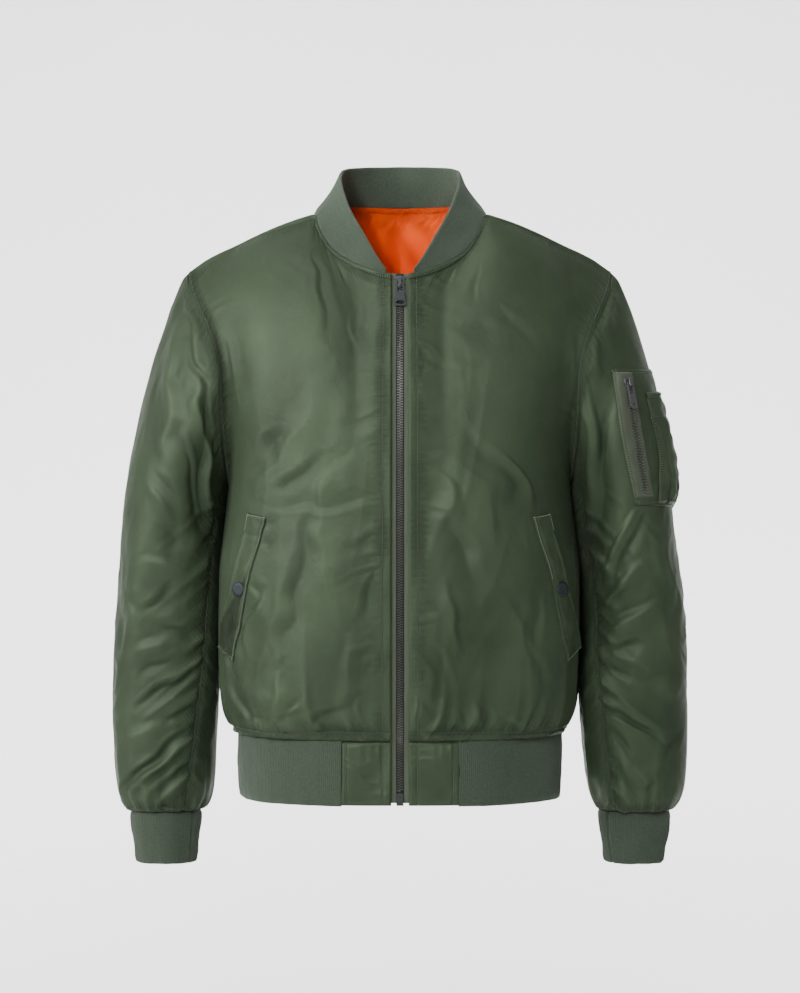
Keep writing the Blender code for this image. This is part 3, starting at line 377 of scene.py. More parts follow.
def finish_mesh(name, points, faces, uvs, materials, kinds, closed_run=0.0, attributes=()):
    """Mesh object with its map in metres, its finishes and its faces turned outwards."""
    mesh = bpy.data.meshes.new(name)
    mesh.from_pydata(points, [], faces)
    for material in materials:
        mesh.materials.append(material)
    mesh.polygons.foreach_set("material_index", kinds)
    corners = np.zeros(len(mesh.loops), int)
    mesh.loops.foreach_get("vertex_index", corners)
    spots = np.array(uvs)[corners]
    if closed_run:
        starts, totals = np.zeros((2, len(mesh.polygons)), int)
        mesh.polygons.foreach_get("loop_start", starts)
        mesh.polygons.foreach_get("loop_total", totals)
        owner = np.repeat(np.arange(len(starts)), totals)
        high = np.full(len(starts), -1.0)
        np.maximum.at(high, owner, spots[:, 0])
        spots[:, 0] += np.where(high[owner] - spots[:, 0] > closed_run / 2, closed_run, 0.0)
    layer = mesh.uv_layers.new(name="cloth")
    layer.data.foreach_set("uv", spots.astype(np.float32).ravel())
    for label, values in attributes:
        made = mesh.attributes.new(label, "FLOAT", "POINT")
        made.data.foreach_set("value", np.asarray(values, np.float32).ravel())
    turn_outwards(mesh)
    mesh.shade_smooth()
    return new_object(name, mesh)


def sewn_shell(name, cloth, wall, outside, inside, lift=None, upright=None, level=None, lining=None):
    """Thin cloth wall: the cloth itself, an inner copy of half the fineness, and the rim.

    Lift is painted into the colour: painted shade in grooves and troughs, painted light on ridges;
    upright and level are the strength of fine tucks beside upright and level seams. The inner copy
    is faced with the outer cloth along its edges and follows a lining grid where one is given.
    """
    grid, rows, cells = cloth.grid, *cloth.grid.shape[:2]
    lean = cloth.out.copy()
    for _ in range(6):
        wide = np.pad(lean, ((1, 1), (1, 1), (0, 0)), mode="edge")
        if cloth.closed:
            wide[:, 0], wide[:, -1] = wide[:, -2], wide[:, 1]
        lean = wide[1:-1, 1:-1] + (wide[:-2, 1:-1] + wide[2:, 1:-1] + wide[1:-1, :-2] + wide[1:-1, 2:]) / 4
        lean /= np.linalg.norm(lean, axis=2, keepdims=True)
    back = (grid - lean * wall if lining is None else lining)[::2, ::2]
    points = np.concatenate([grid.reshape(-1, 3), back.reshape(-1, 3)])
    count, back_rows, back_cells = rows * cells, *back.shape[:2]
    faces = grid_quads(rows, cells, cloth.closed).tolist()
    kinds = [0] * len(faces)
    faces += (grid_quads(back_rows, back_cells, cloth.closed)[:, ::-1] + count).tolist()
    sides = back_cells if cloth.closed else back_cells - 1
    lined = np.zeros((back_rows - 1, sides), int)
    lined[10:-9, slice(None) if cloth.closed else slice(9, -9)] = 1
    kinds += lined.ravel().tolist()
    own = np.arange(count).reshape(rows, cells)
    other = count + np.arange(back_rows * back_cells).reshape(back_rows, back_cells)
    edges = [(own[0], other[0]), (own[-1], other[-1])]
    if cloth.closed:
        edges = [(np.append(a, a[0]), np.append(b, b[0])) for a, b in edges]
    else:
        edges += [(own[:, 0], other[:, 0]), (own[:, -1], other[:, -1])]
    for a, b in edges:
        strip = rim([int(i) for i in a], [int(i) for i in b])
        faces += strip
        kinds += [0] * len(strip)
    place = np.stack([cloth.run, cloth.rise], axis=-1)
    uvs = np.concatenate([place.reshape(-1, 2), place[::2, ::2].reshape(-1, 2)])
    looks = []
    for label, value in (("lift", lift), ("upright", upright), ("level", level)):
        if value is not None:
            looks.append((label, np.concatenate([value.ravel(), 0.0 * value[::2, ::2].ravel()])))
    girth = cloth.run[0, -1] + cloth.run[0, 1] if cloth.closed else 0.0
    return finish_mesh(name, points, faces, uvs, [outside, inside], kinds, girth, looks)


def add_node(tree, kind, inputs=None, give=0, **settings):
    """Add a node and hand back one of its outputs; its inputs take values or other outputs."""
    made = tree.nodes.new(kind if "Node" in kind else "ShaderNode" + kind)
    for key, value in settings.items():
        setattr(made, key, value)
    for key, value in (inputs or {}).items():
        if isinstance(value, bpy.types.NodeSocket):
            tree.links.new(value, made.inputs[key])
        else:
            made.inputs[key].default_value = value
    return made.outputs[give]


def compute(tree, operation, *values):
    return add_node(tree, "Math", dict(enumerate(values)), operation=operation)


def mixed(tree, share, low, high):
    """Colour between two, each a colour or another node's output, by a share from 0 to 1."""
    shades = [one if isinstance(one, bpy.types.NodeSocket) else (*one, 1.0) for one in (low, high)]
    return add_node(tree, "Mix", {0: share, 6: shades[0], 7: shades[1]}, 2, data_type="RGBA")


def new_finish(name, **sockets):
    """Material with a Principled shader whose plain values are set on its own sockets."""
    material = bpy.data.materials.new(name)
    material.use_nodes = True
    shader = material.node_tree.nodes["Principled BSDF"]
    for key, value in sockets.items():
        shader.inputs[key.replace("_", " ")].default_value = value
    return material, material.node_tree


def finished(material, **outputs):
    """The material with the outputs of its nodes led into its shader."""
    tree = material.node_tree
    for key, output in outputs.items():
        tree.links.new(output, tree.nodes["Principled BSDF"].inputs[key.replace("_", " ")])
    return material


def satin_nylon(name, dark, light, rough, weave_share, metallic, tucks=1.0, shine=0.38):
    """Satin nylon: fine twill on the cloth's own map, small crinkles, tucks beside the seams, and painted
    shade and light from the lift attribute.
    """
    material, tree = new_finish(
        name, Metallic=metallic, Sheen_Weight=0.13 * shine, Sheen_Roughness=0.40, Specular_IOR_Level=shine,
        Sheen_Tint=(0.80, 0.90, 0.78, 1.0), Specular_Tint=(0.78, 0.84, 0.76, 1.0))
    place = add_node(tree, "TexCoord", give="Object")
    uv = add_node(tree, "UVMap", uv_map="cloth")
    broad = add_node(tree, "TexNoise", {"Vector": place, "Scale": 16.0, "Detail": 3.0, "Roughness": 0.55})
    crinkle = add_node(tree, "TexNoise", {"Vector": place, "Scale": 95.0, "Detail": 3.0, "Roughness": 0.5,
                                          "Distortion": 0.6})
    slant = add_node(tree, "Mapping", {"Vector": uv, "Rotation": (0.0, 0.0, math.radians(63))})
    twill = add_node(tree, "TexWave", {"Vector": slant, "Scale": 420.0, "Distortion": 0.4, "Detail": 1.0},
                     "Fac")
    lift = add_node(tree, "Attribute", give="Fac", attribute_name="lift")
    height = 0.0
    for label, way, waves in (("upright", "Y", 44.0), ("level", "X", 52.0)):
        tuck = add_node(tree, "TexWave", {"Vector": uv, "Scale": waves * tucks, "Distortion": 3.0,
                                          "Detail": 1.0, "Detail Scale": 34.0}, "Fac", bands_direction=way)
        strength = add_node(tree, "Attribute", give="Fac", attribute_name=label)
        height = compute(tree, "MULTIPLY_ADD", tuck, strength, height)
    tucked = add_node(tree, "Bump", {"Height": height, "Strength": 1.0, "Distance": 0.0013})
    soft = add_node(tree, "Bump", {"Height": crinkle, "Normal": tucked, "Strength": 0.40, "Distance": 0.0010})
    fine = add_node(tree, "Bump", {"Height": twill, "Normal": soft, "Strength": weave_share,
                                   "Distance": 0.00012})
    # The lift attribute mixes the base colour darker in troughs and grooves and lighter on ridges: painted
    # shade and painted highlight.
    return finished(material, Normal=fine,
                    Base_Color=mixed(tree, compute(tree, "MULTIPLY_ADD", lift, 0.30, broad), dark, light),
                    Roughness=add_node(tree, "MapRange", {"Value": crinkle, 3: rough[0], 4: rough[1]}))


OLIVE = satin_nylon("olive_satin_nylon", (0.030, 0.046, 0.024), (0.062, 0.090, 0.050), (0.48, 0.60),
                    0.20, 0.26)
ORANGE = satin_nylon("orange_lining", (0.760, 0.022, 0.001), (0.880, 0.095, 0.004), (0.62, 0.74), 0.15, 0.0,
                     tucks=1.5, shine=0.12)

FRONT_RIGHT_CREASES = table(
    Crease,
    (-1158, -2343, -1458, -2723, 150, -50, 30), (-804, -1881, -1491, -3046, 200, 56, 60),
    (-844, -2665, -1179, -2983, 130, -30, 20), (-906, -3272, -1221, -4722, 150, -58, -50),
    (-585, -2696, -719, -4104, 120, 35, 60), (-277, -3835, -390, -4297, 60, -25, 10),
    (-297, -4502, -277, -5117, 50, -25, -10), (-891, -518, -758, -1302, 80, -32, -30),
    (-659, -586, -542, -813, 40, -20, 10), (-1479, -501, -1153, -761, 60, -25, 20),
    (-1209, -522, -1027, -656, 50, -20, 10), (-1765, -4970, -1285, -5460, 80, -45, 60),
    (-1253, -4848, -1285, -5460, 60, 35, -20), (-1031, -5253, -1253, -5459, 50, -30, 20),
    (-554, -5181, -906, -5445, 70, -35, 30), (-1425, -4055, -1705, -4804, 70, 30, -30),
    (-1371, -4521, -1436, -5044, 60, -20, 10), (-493, -4503, -565, -5119, 90, 25, 20),
    (-395, -986, -289, -1464, 60, -22, 10), (-520, -1092, -392, -1622, 70, 20, -10),
    (-1877, -1244, -1705, -2225, 70, 25, 20), (-1031, -5129, -1137, -5453, 50, 20, 10),
    (-771, -5277, -802, -5483, 40, 20, 10), (-410, -5118, -349, -5456, 50, 22, 10),
    (-1591, -5160, -1436, -5470, 50, 20, 10), (-1300, -3130, -270, -3040, 70, -22, 40),
    (-1760, -4270, -1790, -4680, 50, -80, 0), (-1420, -3358, -1310, -3296, 40, -16, 10),
    (-1448, -3577, -1330, -3535, 40, -16, 10), (-1562, -3930, -1460, -4060, 45, -20, 10),
    (-1489, -4160, -1562, -4316, 30, 16, 0), (-1656, -4525, -1739, -4826, 35, 18, 0),
)
FRONT_LEFT_CREASES = table(
    Crease,
    (637, -2357, 1211, -3201, 150, -50, 60), (1021, -2571, 1350, -3160, 60, 35, 20),
    (544, -3292, 761, -3991, 130, -45, 30), (482, -3969, 585, -4606, 60, 35, 20),
    (164, -4666, 421, -5241, 60, 30, 20), (287, -4553, 513, -5119, 70, -25, 20),
    (706, -1271, 1113, -1370, 80, -25, 20), (1032, -1106, 1379, -1447, 90, -30, 30),
    (1458, -5233, 1285, -5429, 60, -30, 10), (1591, -5285, 1436, -5470, 50, -25, 10),
    (1031, -5284, 1158, -5475, 50, -30, 10), (771, -5123, 802, -5442, 60, 25, 10),
    (328, -2758, 472, -3476, 100, 35, 20), (1699, -540, 1878, -1029, 70, -22, 20),
    (838, -606, 750, -983, 60, -22, 10), (575, -576, 501, -824, 40, -18, 10),
    (1084, -4098, 1404, -5042, 140, 30, 50), (1458, -4004, 1382, -4625, 60, -25, 20),
    (719, -2758, 927, -3684, 100, 20, 30), (1296, -4518, 1546, -5156, 80, -20, 30),
    (256, -5117, 308, -5456, 50, 22, 10), (596, -5243, 637, -5480, 40, 20, 10),
    (927, -5126, 885, -5465, 50, -22, 10), (1877, -1244, 1803, -2325, 70, 20, 20),
)

front_form = half_panel(FRONT_ARMHOLE, FRONT_CENTRE, FRONT_NECK, "front_depth", ZIP_EDGE, -1.0,
                        FRONT_BULGE)
front_base = refine(front_form, 272, 134, finer_ends=2.2, finer_sides=1.5)


def collar_band(base, to_top):
    """Stitched band below the collar, running out along the shoulder seam."""
    wide = np.interp(abs(base[..., 0]), (0.0880, 0.0920, 0.2000), (0.0074, 0.0058, 0.0012))
    return 0.0015 * bell(to_top - 0.5 * wide, 0.42 * wide, 4) + groove(abs(to_top - wide), COLLAR_BAND_GROOVE)


def hem_casing(base, to_hem, seed, share=1.0):
    """Stitched casing along the hem, a little uneven in height."""
    strip = share * bell(to_hem - 0.5 * CASING_HEIGHT, 0.44 * CASING_HEIGHT, 4)
    return 0.0017 * strip * (0.9 + 0.25 * ripple(base, 0.012, seed))


def beside_armhole(cloth):
    """1 beside the armhole and 0 along the side seam below it."""
    return step_up(cloth.grid[..., 2] - ARMHOLE_FOOT, 0.006)


def armhole_tucks(cloth, to_side):
    return 0.6 * beside_armhole(cloth) * bell(to_side - 0.006, 0.007)


def hem_and_top_tucks(often, to_hem, to_top):
    return often * bell(to_hem - CASING_HEIGHT, 0.0090) + 0.3 * bell(to_top - 0.0130, 0.0050)


def front_cloth(base, creases, seed):
    """Front panel with its creases, the puckers along its seams and the gathered hem."""
    cloth = measure(base, BODY_AXIS)
    to_side, to_zip, to_hem, to_top = edge_distances(cloth)
    slant = base * LONG_FOLDS
    low = ((-0.10 - base[..., 2]) / 0.25).clip(0.25, 1.0)
    shift = (0.35 + 0.55 * low) * creased(cloth, creases, -1.0, seed)
    shift += 0.0020 * ripple(slant, 0.110, seed + 2) + 0.0006 * low * crumpled(slant, 0.060, seed + 3)
    shift += gathered(cloth.run, abs(to_hem - CASING_HEIGHT), seed + 4)
    slip = cloth.rise + 0.30 * to_zip + 0.004 * ripple(base, 0.030, seed + 6)
    shift += pucker(slip, abs(to_zip - PLACKET_STITCH), PLACKET_PUCKERS[0], seed + 7)
    shift += pucker(slip, abs(to_zip - PLACKET_STITCH), PLACKET_PUCKERS[1], seed + 10)
    shift += beside_armhole(cloth) * pucker(cloth.rise, to_side, ARMHOLE_PUCKER, seed + 8)
    shift += pucker(cloth.run, to_top, FRONT_TOP_PUCKER, seed + 9)
    # Nothing sinks deep beside the zip, where its tape lies behind the front.
    floor = -0.0014 - 0.0100 * ((to_zip - 0.016) / 0.040).clip(0, 1) ** 1.5
    shift = floor + np.logaddexp(0.0, (shift - floor) / 0.0006) * 0.0006
    shift *= 1 - bell(np.min(edge_distances(cloth), axis=0), 0.006)
    for away, kind in ((to_side, SIDE_GROOVE), (to_top, FRONT_TOP_GROOVE), (to_hem, RIB_SEAM_GROOVE),
                       (abs(to_hem - CASING_HEIGHT), CASING_GROOVE), (to_zip, EDGE_GROOVE),
                       (abs(to_zip - PLACKET_STITCH), PLACKET_GROOVE)):
        shift += groove(away, kind)
    shift += collar_band(base, to_top)
    shift += hem_casing(base, to_hem, seed + 11, step_up(to_zip - 0.016, 0.001))
    often = 0.65 + 0.45 * ripple(base, 0.060, seed + 12)
    upright = often * bell(to_zip - PLACKET_STITCH - 0.001, 0.0075) + armhole_tucks(cloth, to_side)
    level = hem_and_top_tucks(often, to_hem, to_top)
    return raised(cloth, shift, BODY_AXIS), shift, upright.clip(0, 1), level.clip(0, 1)


front_cloths = {}
for side, base, creases, seed in (("left", front_base, FRONT_LEFT_CREASES, 20),
                                  ("right", front_base * MIRROR, FRONT_RIGHT_CREASES, 40)):
    front_cloths[side], shift, upright, level = front_cloth(base, creases, seed)
    panel = sewn_shell("front_panel_" + side, front_cloths[side], NYLON_WALL, OLIVE, ORANGE,
                       (shift / SHADE_RANGE).clip(-1, 1), upright, level)
    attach(panel, "jacket")
    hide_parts("front_" + side)

# BACK
# One wide back panel of the same nylon and lining, cut from side seam to side seam with no
# yoke, eased into the armholes and gathered onto the hem rib.

BACK_ARMHOLE = table(
    Spot,
    (1830, 0, -2970), (1848, 340, -2780), (1890, 620, -2430), (1940, 780, -2000), (2000, 810, -1650),
    (2080, 720, -1320), (2190, 500, -1010), (2280, 220, -760), (2310, -40, -630),
)
BACK_NECK = table(
    Spot,
    (905, -220, -8), (905, 0, 60), (870, 280, 115), (710, 570, 165), (400, 780, 182), (0, 850, 185),
)
BACK_CENTRE = table(
    Spot,
    (0, 1378, -2970), (0, 1370, -2200), (0, 1310, -1400), (0, 1170, -600), (0, 850, 185),
)
BACK_BULGE = (0.0, 0.012, 0.034)
BACK_TOP_PUCKER, BACK_TOP_GROOVE = Pucker(0.0160, 0.0012, 0.0160), Groove(0.0010, 0.0030)
BACK_CREASES = table(
    Crease,
    (1750, -1500, 900, -3000, 150, 45, 60), (1600, -2100, 700, -3700, 130, -42, 50),
    (-1780, -1450, -800, -2850, 140, 45, -60), (-1700, -2050, -1000, -3550, 120, -45, -40),
    (-300, -1000, 300, -2300, 160, -30, 60), (600, -450, 300, -1400, 120, 28, 40),
    (-1200, -3500, -300, -4500, 140, 40, 60), (1300, -3400, 500, -4300, 130, 42, 50),
    (-200, -3000, 100, -4300, 150, -40, 50), (1500, -4200, 900, -5000, 90, -40, 30),
    (-1600, -4100, -1200, -5100, 100, -42, 30), (-700, -4500, -500, -5400, 80, 34, 20),
    (400, -4600, 700, -5420, 80, 34, 20), (0, -4700, -200, -5400, 70, -30, 10),
    (1200, -4800, 1300, -5400, 60, 30, 10), (-1400, -600, -800, -1200, 100, -26, 30),
    (1450, -700, 1000, -1300, 100, -26, 30),
)

back_half = half_panel(BACK_ARMHOLE, BACK_CENTRE, BACK_NECK, "back_depth", 0.0, 1.0, BACK_BULGE)
back_form = np.concatenate([back_half, back_half[:, -2::-1] * MIRROR], axis=1)
back_base = refine(back_form, 206, 186, finer_ends=2.2)
cloth = measure(back_base, BODY_AXIS)
to_left, to_right, to_hem, to_top = edge_distances(cloth)
to_side = np.minimum(to_left, to_right)
slant = back_base * LONG_FOLDS
shift = 0.80 * creased(cloth, BACK_CREASES, 1.0, 60)
shift += 0.0024 * ripple(slant, 0.115, 62) + 0.0004 * crumpled(slant, 0.040, 63)
shift += gathered(cloth.run, abs(to_hem - CASING_HEIGHT), 64)
shift += beside_armhole(cloth) * pucker(cloth.rise, to_side, ARMHOLE_PUCKER, 68)
shift += pucker(cloth.run, to_top, BACK_TOP_PUCKER, 69)
shift *= 1 - bell(np.min(edge_distances(cloth), axis=0), 0.006)
for away, kind in ((to_side, SIDE_GROOVE), (to_top, BACK_TOP_GROOVE), (to_hem, RIB_SEAM_GROOVE),
                   (abs(to_hem - CASING_HEIGHT), CASING_GROOVE)):
    shift += groove(away, kind)
shift += collar_band(back_base, to_top)
shift += hem_casing(back_base, to_hem, 66)
back_cloth = raised(cloth, shift, BODY_AXIS)
level = hem_and_top_tucks(0.65 + 0.45 * ripple(back_base, 0.060, 67), to_hem, to_top)
panel = sewn_shell("back_panel", back_cloth, NYLON_WALL, OLIVE, ORANGE, (shift / SHADE_RANGE).clip(-1, 1),
                   armhole_tucks(cloth, to_side), level.clip(0, 1))
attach(panel, "jacket")
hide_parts("back")

# SLEEVES
# Two full tubes of nylon set into the armholes with a gathered head, ruched along the inseam
# and gathered onto the cuffs, so that they hang in slanting folds.

SleeveSection = namedtuple("SleeveSection", "height inner_x outer_x front_y back_y")
SLEEVE_SECTIONS = table(
    SleeveSection,
    (-3750, 1927, 3022, -640, 800), (-4150, 1938, 3058, -600, 760), (-4550, 1944, 3086, -565, 720),
    (-4950, 1952, 3105, -540, 685), (-5350, 1966, 3112, -520, 655), (-5700, 1985, 3102, -505, 630),
    (-5980, 2005, 3085, -490, 600), (-6180, 2030, 3060, -465, 560), (-6300, 2065, 3020, -430, 510),
    (-6375, 2110, 2970, -380, 450), (-6405, 2155, 2915, -330, 390),
)
HEAD_ROWS = 8
HEAD_SLOPE_OUTER, HEAD_SLOPE_INNER, HEAD_SLOPE_SIDE = 0.150, 0.012, 0.030
INSEAM_TOP_SHARE, INSEAM_FOOT_SHARE = 0.415, 0.345
SLEEVE_ROUNDNESS, HEAD_TUCKS = 2.15, 24
INSEAM_PUCKERS = Pucker(0.0105, 0.0028, 0.0120), Pucker(0.0260, 0.0040, 0.0320)
HEAD_GROOVE, INSEAM_GROOVE = Groove(0.0014, 0.0030), Groove(0.0022, 0.0030)
RIGHT_SLEEVE_CREASES = table(
    Crease,
    (-2262, -790, -2130, -1120, 40, -40, 10), (-2263, -1367, -1987, -3067, 60, 45, 30),
    (-2433, -1420, -2412, -2323, 70, 35, 20), (-2295, -2270, -2051, -3492, 80, -50, 30),
    (-2125, -2005, -1955, -3120, 50, 35, 10), (-2550, -2748, -2359, -3067, 60, -22, 10),
    (-2657, -2855, -2444, -3280, 60, 22, 10), (-2487, -3333, -2274, -3545, 90, -34, 10),
    (-2699, -4225, -2402, -4034, 60, -38, 10), (-2487, -4385, -2168, -4427, 60, -34, 10),
    (-2837, -4661, -2497, -4555, 80, 38, 10), (-2776, -5240, -2205, -4920, 60, -52, 20),
    (-2763, -4874, -2285, -4714, 60, -22, 10), (-2470, -5380, -2180, -5220, 45, -40, 10),
    (-2971, -6180, -2180, -5500, 48, -58, 10), (-2890, -6190, -2190, -5630, 42, 38, 10),
    (-2840, -6215, -2210, -5740, 42, -42, 10), (-2646, -6190, -2180, -5880, 42, -42, 10),
    (-2869, -5618, -2550, -5426, 80, 28, 10), (-2922, -4130, -2763, -4555, 90, 22, 10),
    (-2657, -3705, -2232, -3864, 90, 28, 10), (-2338, -942, -2072, -1792, 60, -34, 20),
    (-2210, -942, -2019, -1686, 50, 28, 10), (-2497, -1845, -2550, -2748, 90, -22, 10),
    (-2763, -6255, -2657, -5989, 60, 22, 10), (-2000, -2050, -2010, -3400, 80, -80, 0),
)
LEFT_SLEEVE_CREASES = table(
    Crease,
    (2256, -863, 2160, -1187, 45, 34, 10), (2210, -857, 2040, -1579, 60, 34, 10),
    (2338, -1845, 2093, -2961, 70, 38, 30), (2253, -2005, 2125, -2589, 60, -34, 10),
    (2476, -3152, 2136, -3885, 45, 48, 30), (2550, -3237, 2232, -3939, 40, -34, 20),
    (2529, -3726, 2136, -4162, 70, 50, 20), (2423, -3970, 2157, -4236, 50, -28, 10),
    (2699, -4151, 2200, -4555, 90, 55, 30), (2550, -4555, 2189, -4714, 60, -34, 10),
    (2178, -4736, 2465, -5001, 50, -38, 20), (2285, -4661, 2657, -4852, 70, 34, 10),
    (2190, -5200, 2852, -5620, 45, 52, 20), (2180, -5270, 2692, -5560, 45, -42, 10),
    (2200, -5460, 2490, -5810, 48, -44, 10), (2190, -5760, 2518, -6190, 45, -55, 20),
    (2489, -5919, 2670, -6047, 42, 34, 10), (2657, -3492, 2848, -3917, 90, 22, 10),
    (2763, -4130, 2975, -4555, 100, -22, 10), (2710, -5086, 2997, -5192, 90, 28, 10),
    (2550, -6149, 2763, -5936, 60, 22, 10), (2072, -1261, 2178, -1792, 50, -28, 10),
    (2019, -1792, 2062, -2748, 50, 34, 10), (2848, -5830, 3018, -5511, 80, -28, 10),
    (2010, -1800, 2050, -3400, 110, -110, 0),
)
SLEEVE_BACK_CREASES = table(
    Crease,
    (2200, -1300, 2600, -2300, 90, 40, 30), (2450, -1300, 2750, -2100, 80, -36, 20),
    (2100, -2300, 2500, -3200, 80, -45, 30), (2150, -3000, 2700, -3500, 80, 45, 30),
    (2600, -3700, 2100, -4200, 80, 48, 30), (2850, -3900, 2400, -4500, 80, -42, 20),
    (2200, -4600, 2700, -4900, 70, 45, 20), (2150, -5000, 2800, -5500, 70, -45, 40),
    (2800, -5200, 2300, -5700, 70, 42, 20), (2200, -5600, 2700, -6100, 60, 42, 30),
    (2900, -5700, 2600, -6150, 60, -40, 20), (2250, -6000, 2400, -6250, 50, -30, 10),
)


def ring(section, cells):
    """Level line round a sleeve, from its outer side round by the front."""
    turn = turns(cells)
    cosine, sine = np.cos(turn), np.sin(turn)
    reach = (abs(cosine) ** SLEEVE_ROUNDNESS + abs(sine) ** SLEEVE_ROUNDNESS) ** (-1.0 / SLEEVE_ROUNDNESS)
    middle_x, half_x = (section.inner_x + section.outer_x) / 2, (section.outer_x - section.inner_x) / 2
    middle_y, half_y = (section.front_y + section.back_y) / 2, (section.back_y - section.front_y) / 2
    return np.stack([middle_x + half_x * reach * cosine, middle_y - half_y * reach * sine,
                     np.full(cells, section.height)], axis=1)


def sleeve_tube():
    """Left sleeve from the armhole down, each column running along the arm."""
    front = curve_through(FRONT_ARMHOLE, ARMHOLE_CELLS)[::-1]
    armhole = np.concatenate([front, curve_through(BACK_ARMHOLE, ARMHOLE_CELLS)[1:-1]])
    cells = len(armhole)
    rings = [ring(section, cells) for section in SLEEVE_SECTIONS]
    turn = turns(cells)
    drop = armhole[:, 2] - rings[0][:, 2]
    aside = HEAD_SLOPE_INNER + (HEAD_SLOPE_OUTER - HEAD_SLOPE_INNER) * (1 + np.cos(turn)) / 2
    leave = np.stack([aside + HEAD_SLOPE_SIDE * abs(np.sin(turn)), -HEAD_SLOPE_SIDE * np.sin(turn), -drop],
                     axis=1)
    fall = SLEEVE_SECTIONS[0].height - SLEEVE_SECTIONS[1].height
    arrive = (rings[1] - rings[0]) / fall * drop[:, None]
    head = [blended(t, armhole, rings[0], leave, arrive) for t in np.linspace(0.0, 1.0, HEAD_ROWS + 1)[:-1]]
    return np.array(head + rings)


sleeve_form = sleeve_tube()
sleeve_base = refine(sleeve_form, 300, 130, closed=True, finer_ends=1.5)
# Between armpit and wrist the inner side swells a little towards the body.
inner = (-np.cos(turns(sleeve_base.shape[1]))).clip(0.0, 1.0) ** 3
sleeve_base[..., 0] -= 0.0034 * inner * bell(sleeve_base[..., 2] + 0.440, 0.105, 4)
sleeve_cloths, inseam_places = {}, {}
for side, way, creases, seed in (("left", 1.0, LEFT_SLEEVE_CREASES, 80),
                                 ("right", -1.0, RIGHT_SLEEVE_CREASES, 110)):
    base = sleeve_base if way > 0 else sleeve_base * MIRROR
    axis_point = (way * 0.25, 0.008, -0.36)
    cloth = measure(base, axis_point, closed=True)
    girth = cloth.run[0, -1] + cloth.run[0, 1]
    to_arm, to_cuff = edge_distances(cloth)[2:]
    down = ((base[..., 2].mean(axis=1) + 0.290) / -0.330).clip(0.0, 1.0)[:, None]
    inseam = girth * (INSEAM_TOP_SHARE + (INSEAM_FOOT_SHARE - INSEAM_TOP_SHARE) * down)
    to_inseam = abs(cloth.run - inseam)
    level_cloth = cloth._replace(rise=-base[..., 2])
    shift = creased(level_cloth, creases, -1.0, seed)
    behind = [one._replace(x=way * one.x, to_x=way * one.to_x, z=one.z + 0.004 * way)
              for one in SLEEVE_BACK_CREASES]
    shift += creased(level_cloth, behind, 1.0, seed + 1)
    slant = base * np.array([1.0, 1.0, 0.55]) + base[..., 2:] * np.array([0.4 * way, 0.0, 0.0])
    shift += 0.0018 * ripple(slant, 0.085, seed + 2) + 0.0005 * crumpled(slant, 0.034, seed + 3)
    shift += gathered(cloth.run, to_cuff, seed + 4, 0.0021)
    shift += pucker(cloth.run, to_arm, Pucker(girth / HEAD_TUCKS, 0.0016, 0.0200), seed + 7)
    below = step_up(ARMHOLE_FOOT - base[..., 2], 0.010)
    slip = -base[..., 2] - 0.75 * to_inseam
    outer_side = 0.35 + 0.65 * (cloth.run < inseam)
    for k, kind in enumerate(INSEAM_PUCKERS):
        shift += below * outer_side * pucker(slip, to_inseam, kind, seed + 8 + k)
    shift *= 1 - bell(np.minimum(to_arm, to_cuff), 0.006)
    shift += groove(to_arm, HEAD_GROOVE) + groove(to_cuff, RIB_SEAM_GROOVE)
    shift += below * groove(to_inseam, INSEAM_GROOVE)
    sleeve_cloths[side] = raised(cloth, shift, axis_point)
    inseam_places[side] = inseam[:, 0] / girth * base.shape[1]
    often = 0.75 + 0.40 * ripple(base, 0.050, seed + 12)
    upright = below * outer_side * often * bell(to_inseam, 0.011)
    level = often * bell(to_cuff - 0.006, 0.0100) + 0.5 * bell(to_arm - 0.006, 0.007)
    panel = sewn_shell("sleeve_panel_" + side, sleeve_cloths[side], NYLON_WALL, OLIVE, ORANGE,
                       (shift / SHADE_RANGE).clip(-1, 1), upright.clip(0, 1), level.clip(0, 1),
                       lining_under(base, cloth.out, shift))
    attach(panel, "jacket")
    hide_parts("sleeve_" + side)

ALLOWANCE_RADIUS, ALLOWANCE_DEPTH = 0.0028, 0.0018
for side, column in (("left", 0), ("right", -1)):
    armhole, armhole_out = sleeve_cloths[side].grid[0], sleeve_cloths[side].out[0]
    edge = np.concatenate([front_cloths[side].grid[:, 0], back_cloth.grid[:, column]])
    edge_out = np.concatenate([front_cloths[side].out[:, 0], back_cloth.out[:, column]])
    near = np.linalg.norm(armhole[:, None] - edge[None], axis=2).argmin(axis=1)
    seam = (armhole + edge[near]) / 2 - ALLOWANCE_DEPTH * (armhole_out + edge_out[near])
    for _ in range(4):
        seam = (np.roll(seam, 1, axis=0) + 2 * seam + np.roll(seam, -1, axis=0)) / 4
    across = np.cross(np.roll(seam, -1, axis=0) - np.roll(seam, 1, axis=0), armhole_out)
    across /= np.linalg.norm(across, axis=1, keepdims=True)
    turn = turns(8)
    cosine, sine = np.cos(turn)[:, None, None], np.sin(turn)[:, None, None]
    roll = seam + ALLOWANCE_RADIUS * (cosine * across + sine * armhole_out)
    rows, cells = roll.shape[:2]
    quads = grid_quads(rows + 1, cells, True) % (rows * cells)
    uvs = np.stack(np.meshgrid(np.arange(cells) * 0.004, turn * 0.0026), axis=-1).reshape(-1, 2)
    allowance = finish_mesh("armhole_seam_" + side, roll.reshape(-1, 3), quads.tolist(), uvs, [OLIVE],
                            [0] * len(quads))
    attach(allowance, "jacket")

# RIB CUFFS
# Doubled rib knit tubes in heathered sage yarn, sewn to the sleeves at the gathers. The ribs
# run along the arm, about two millimetres apart, round the folded lower edge and back up inside.

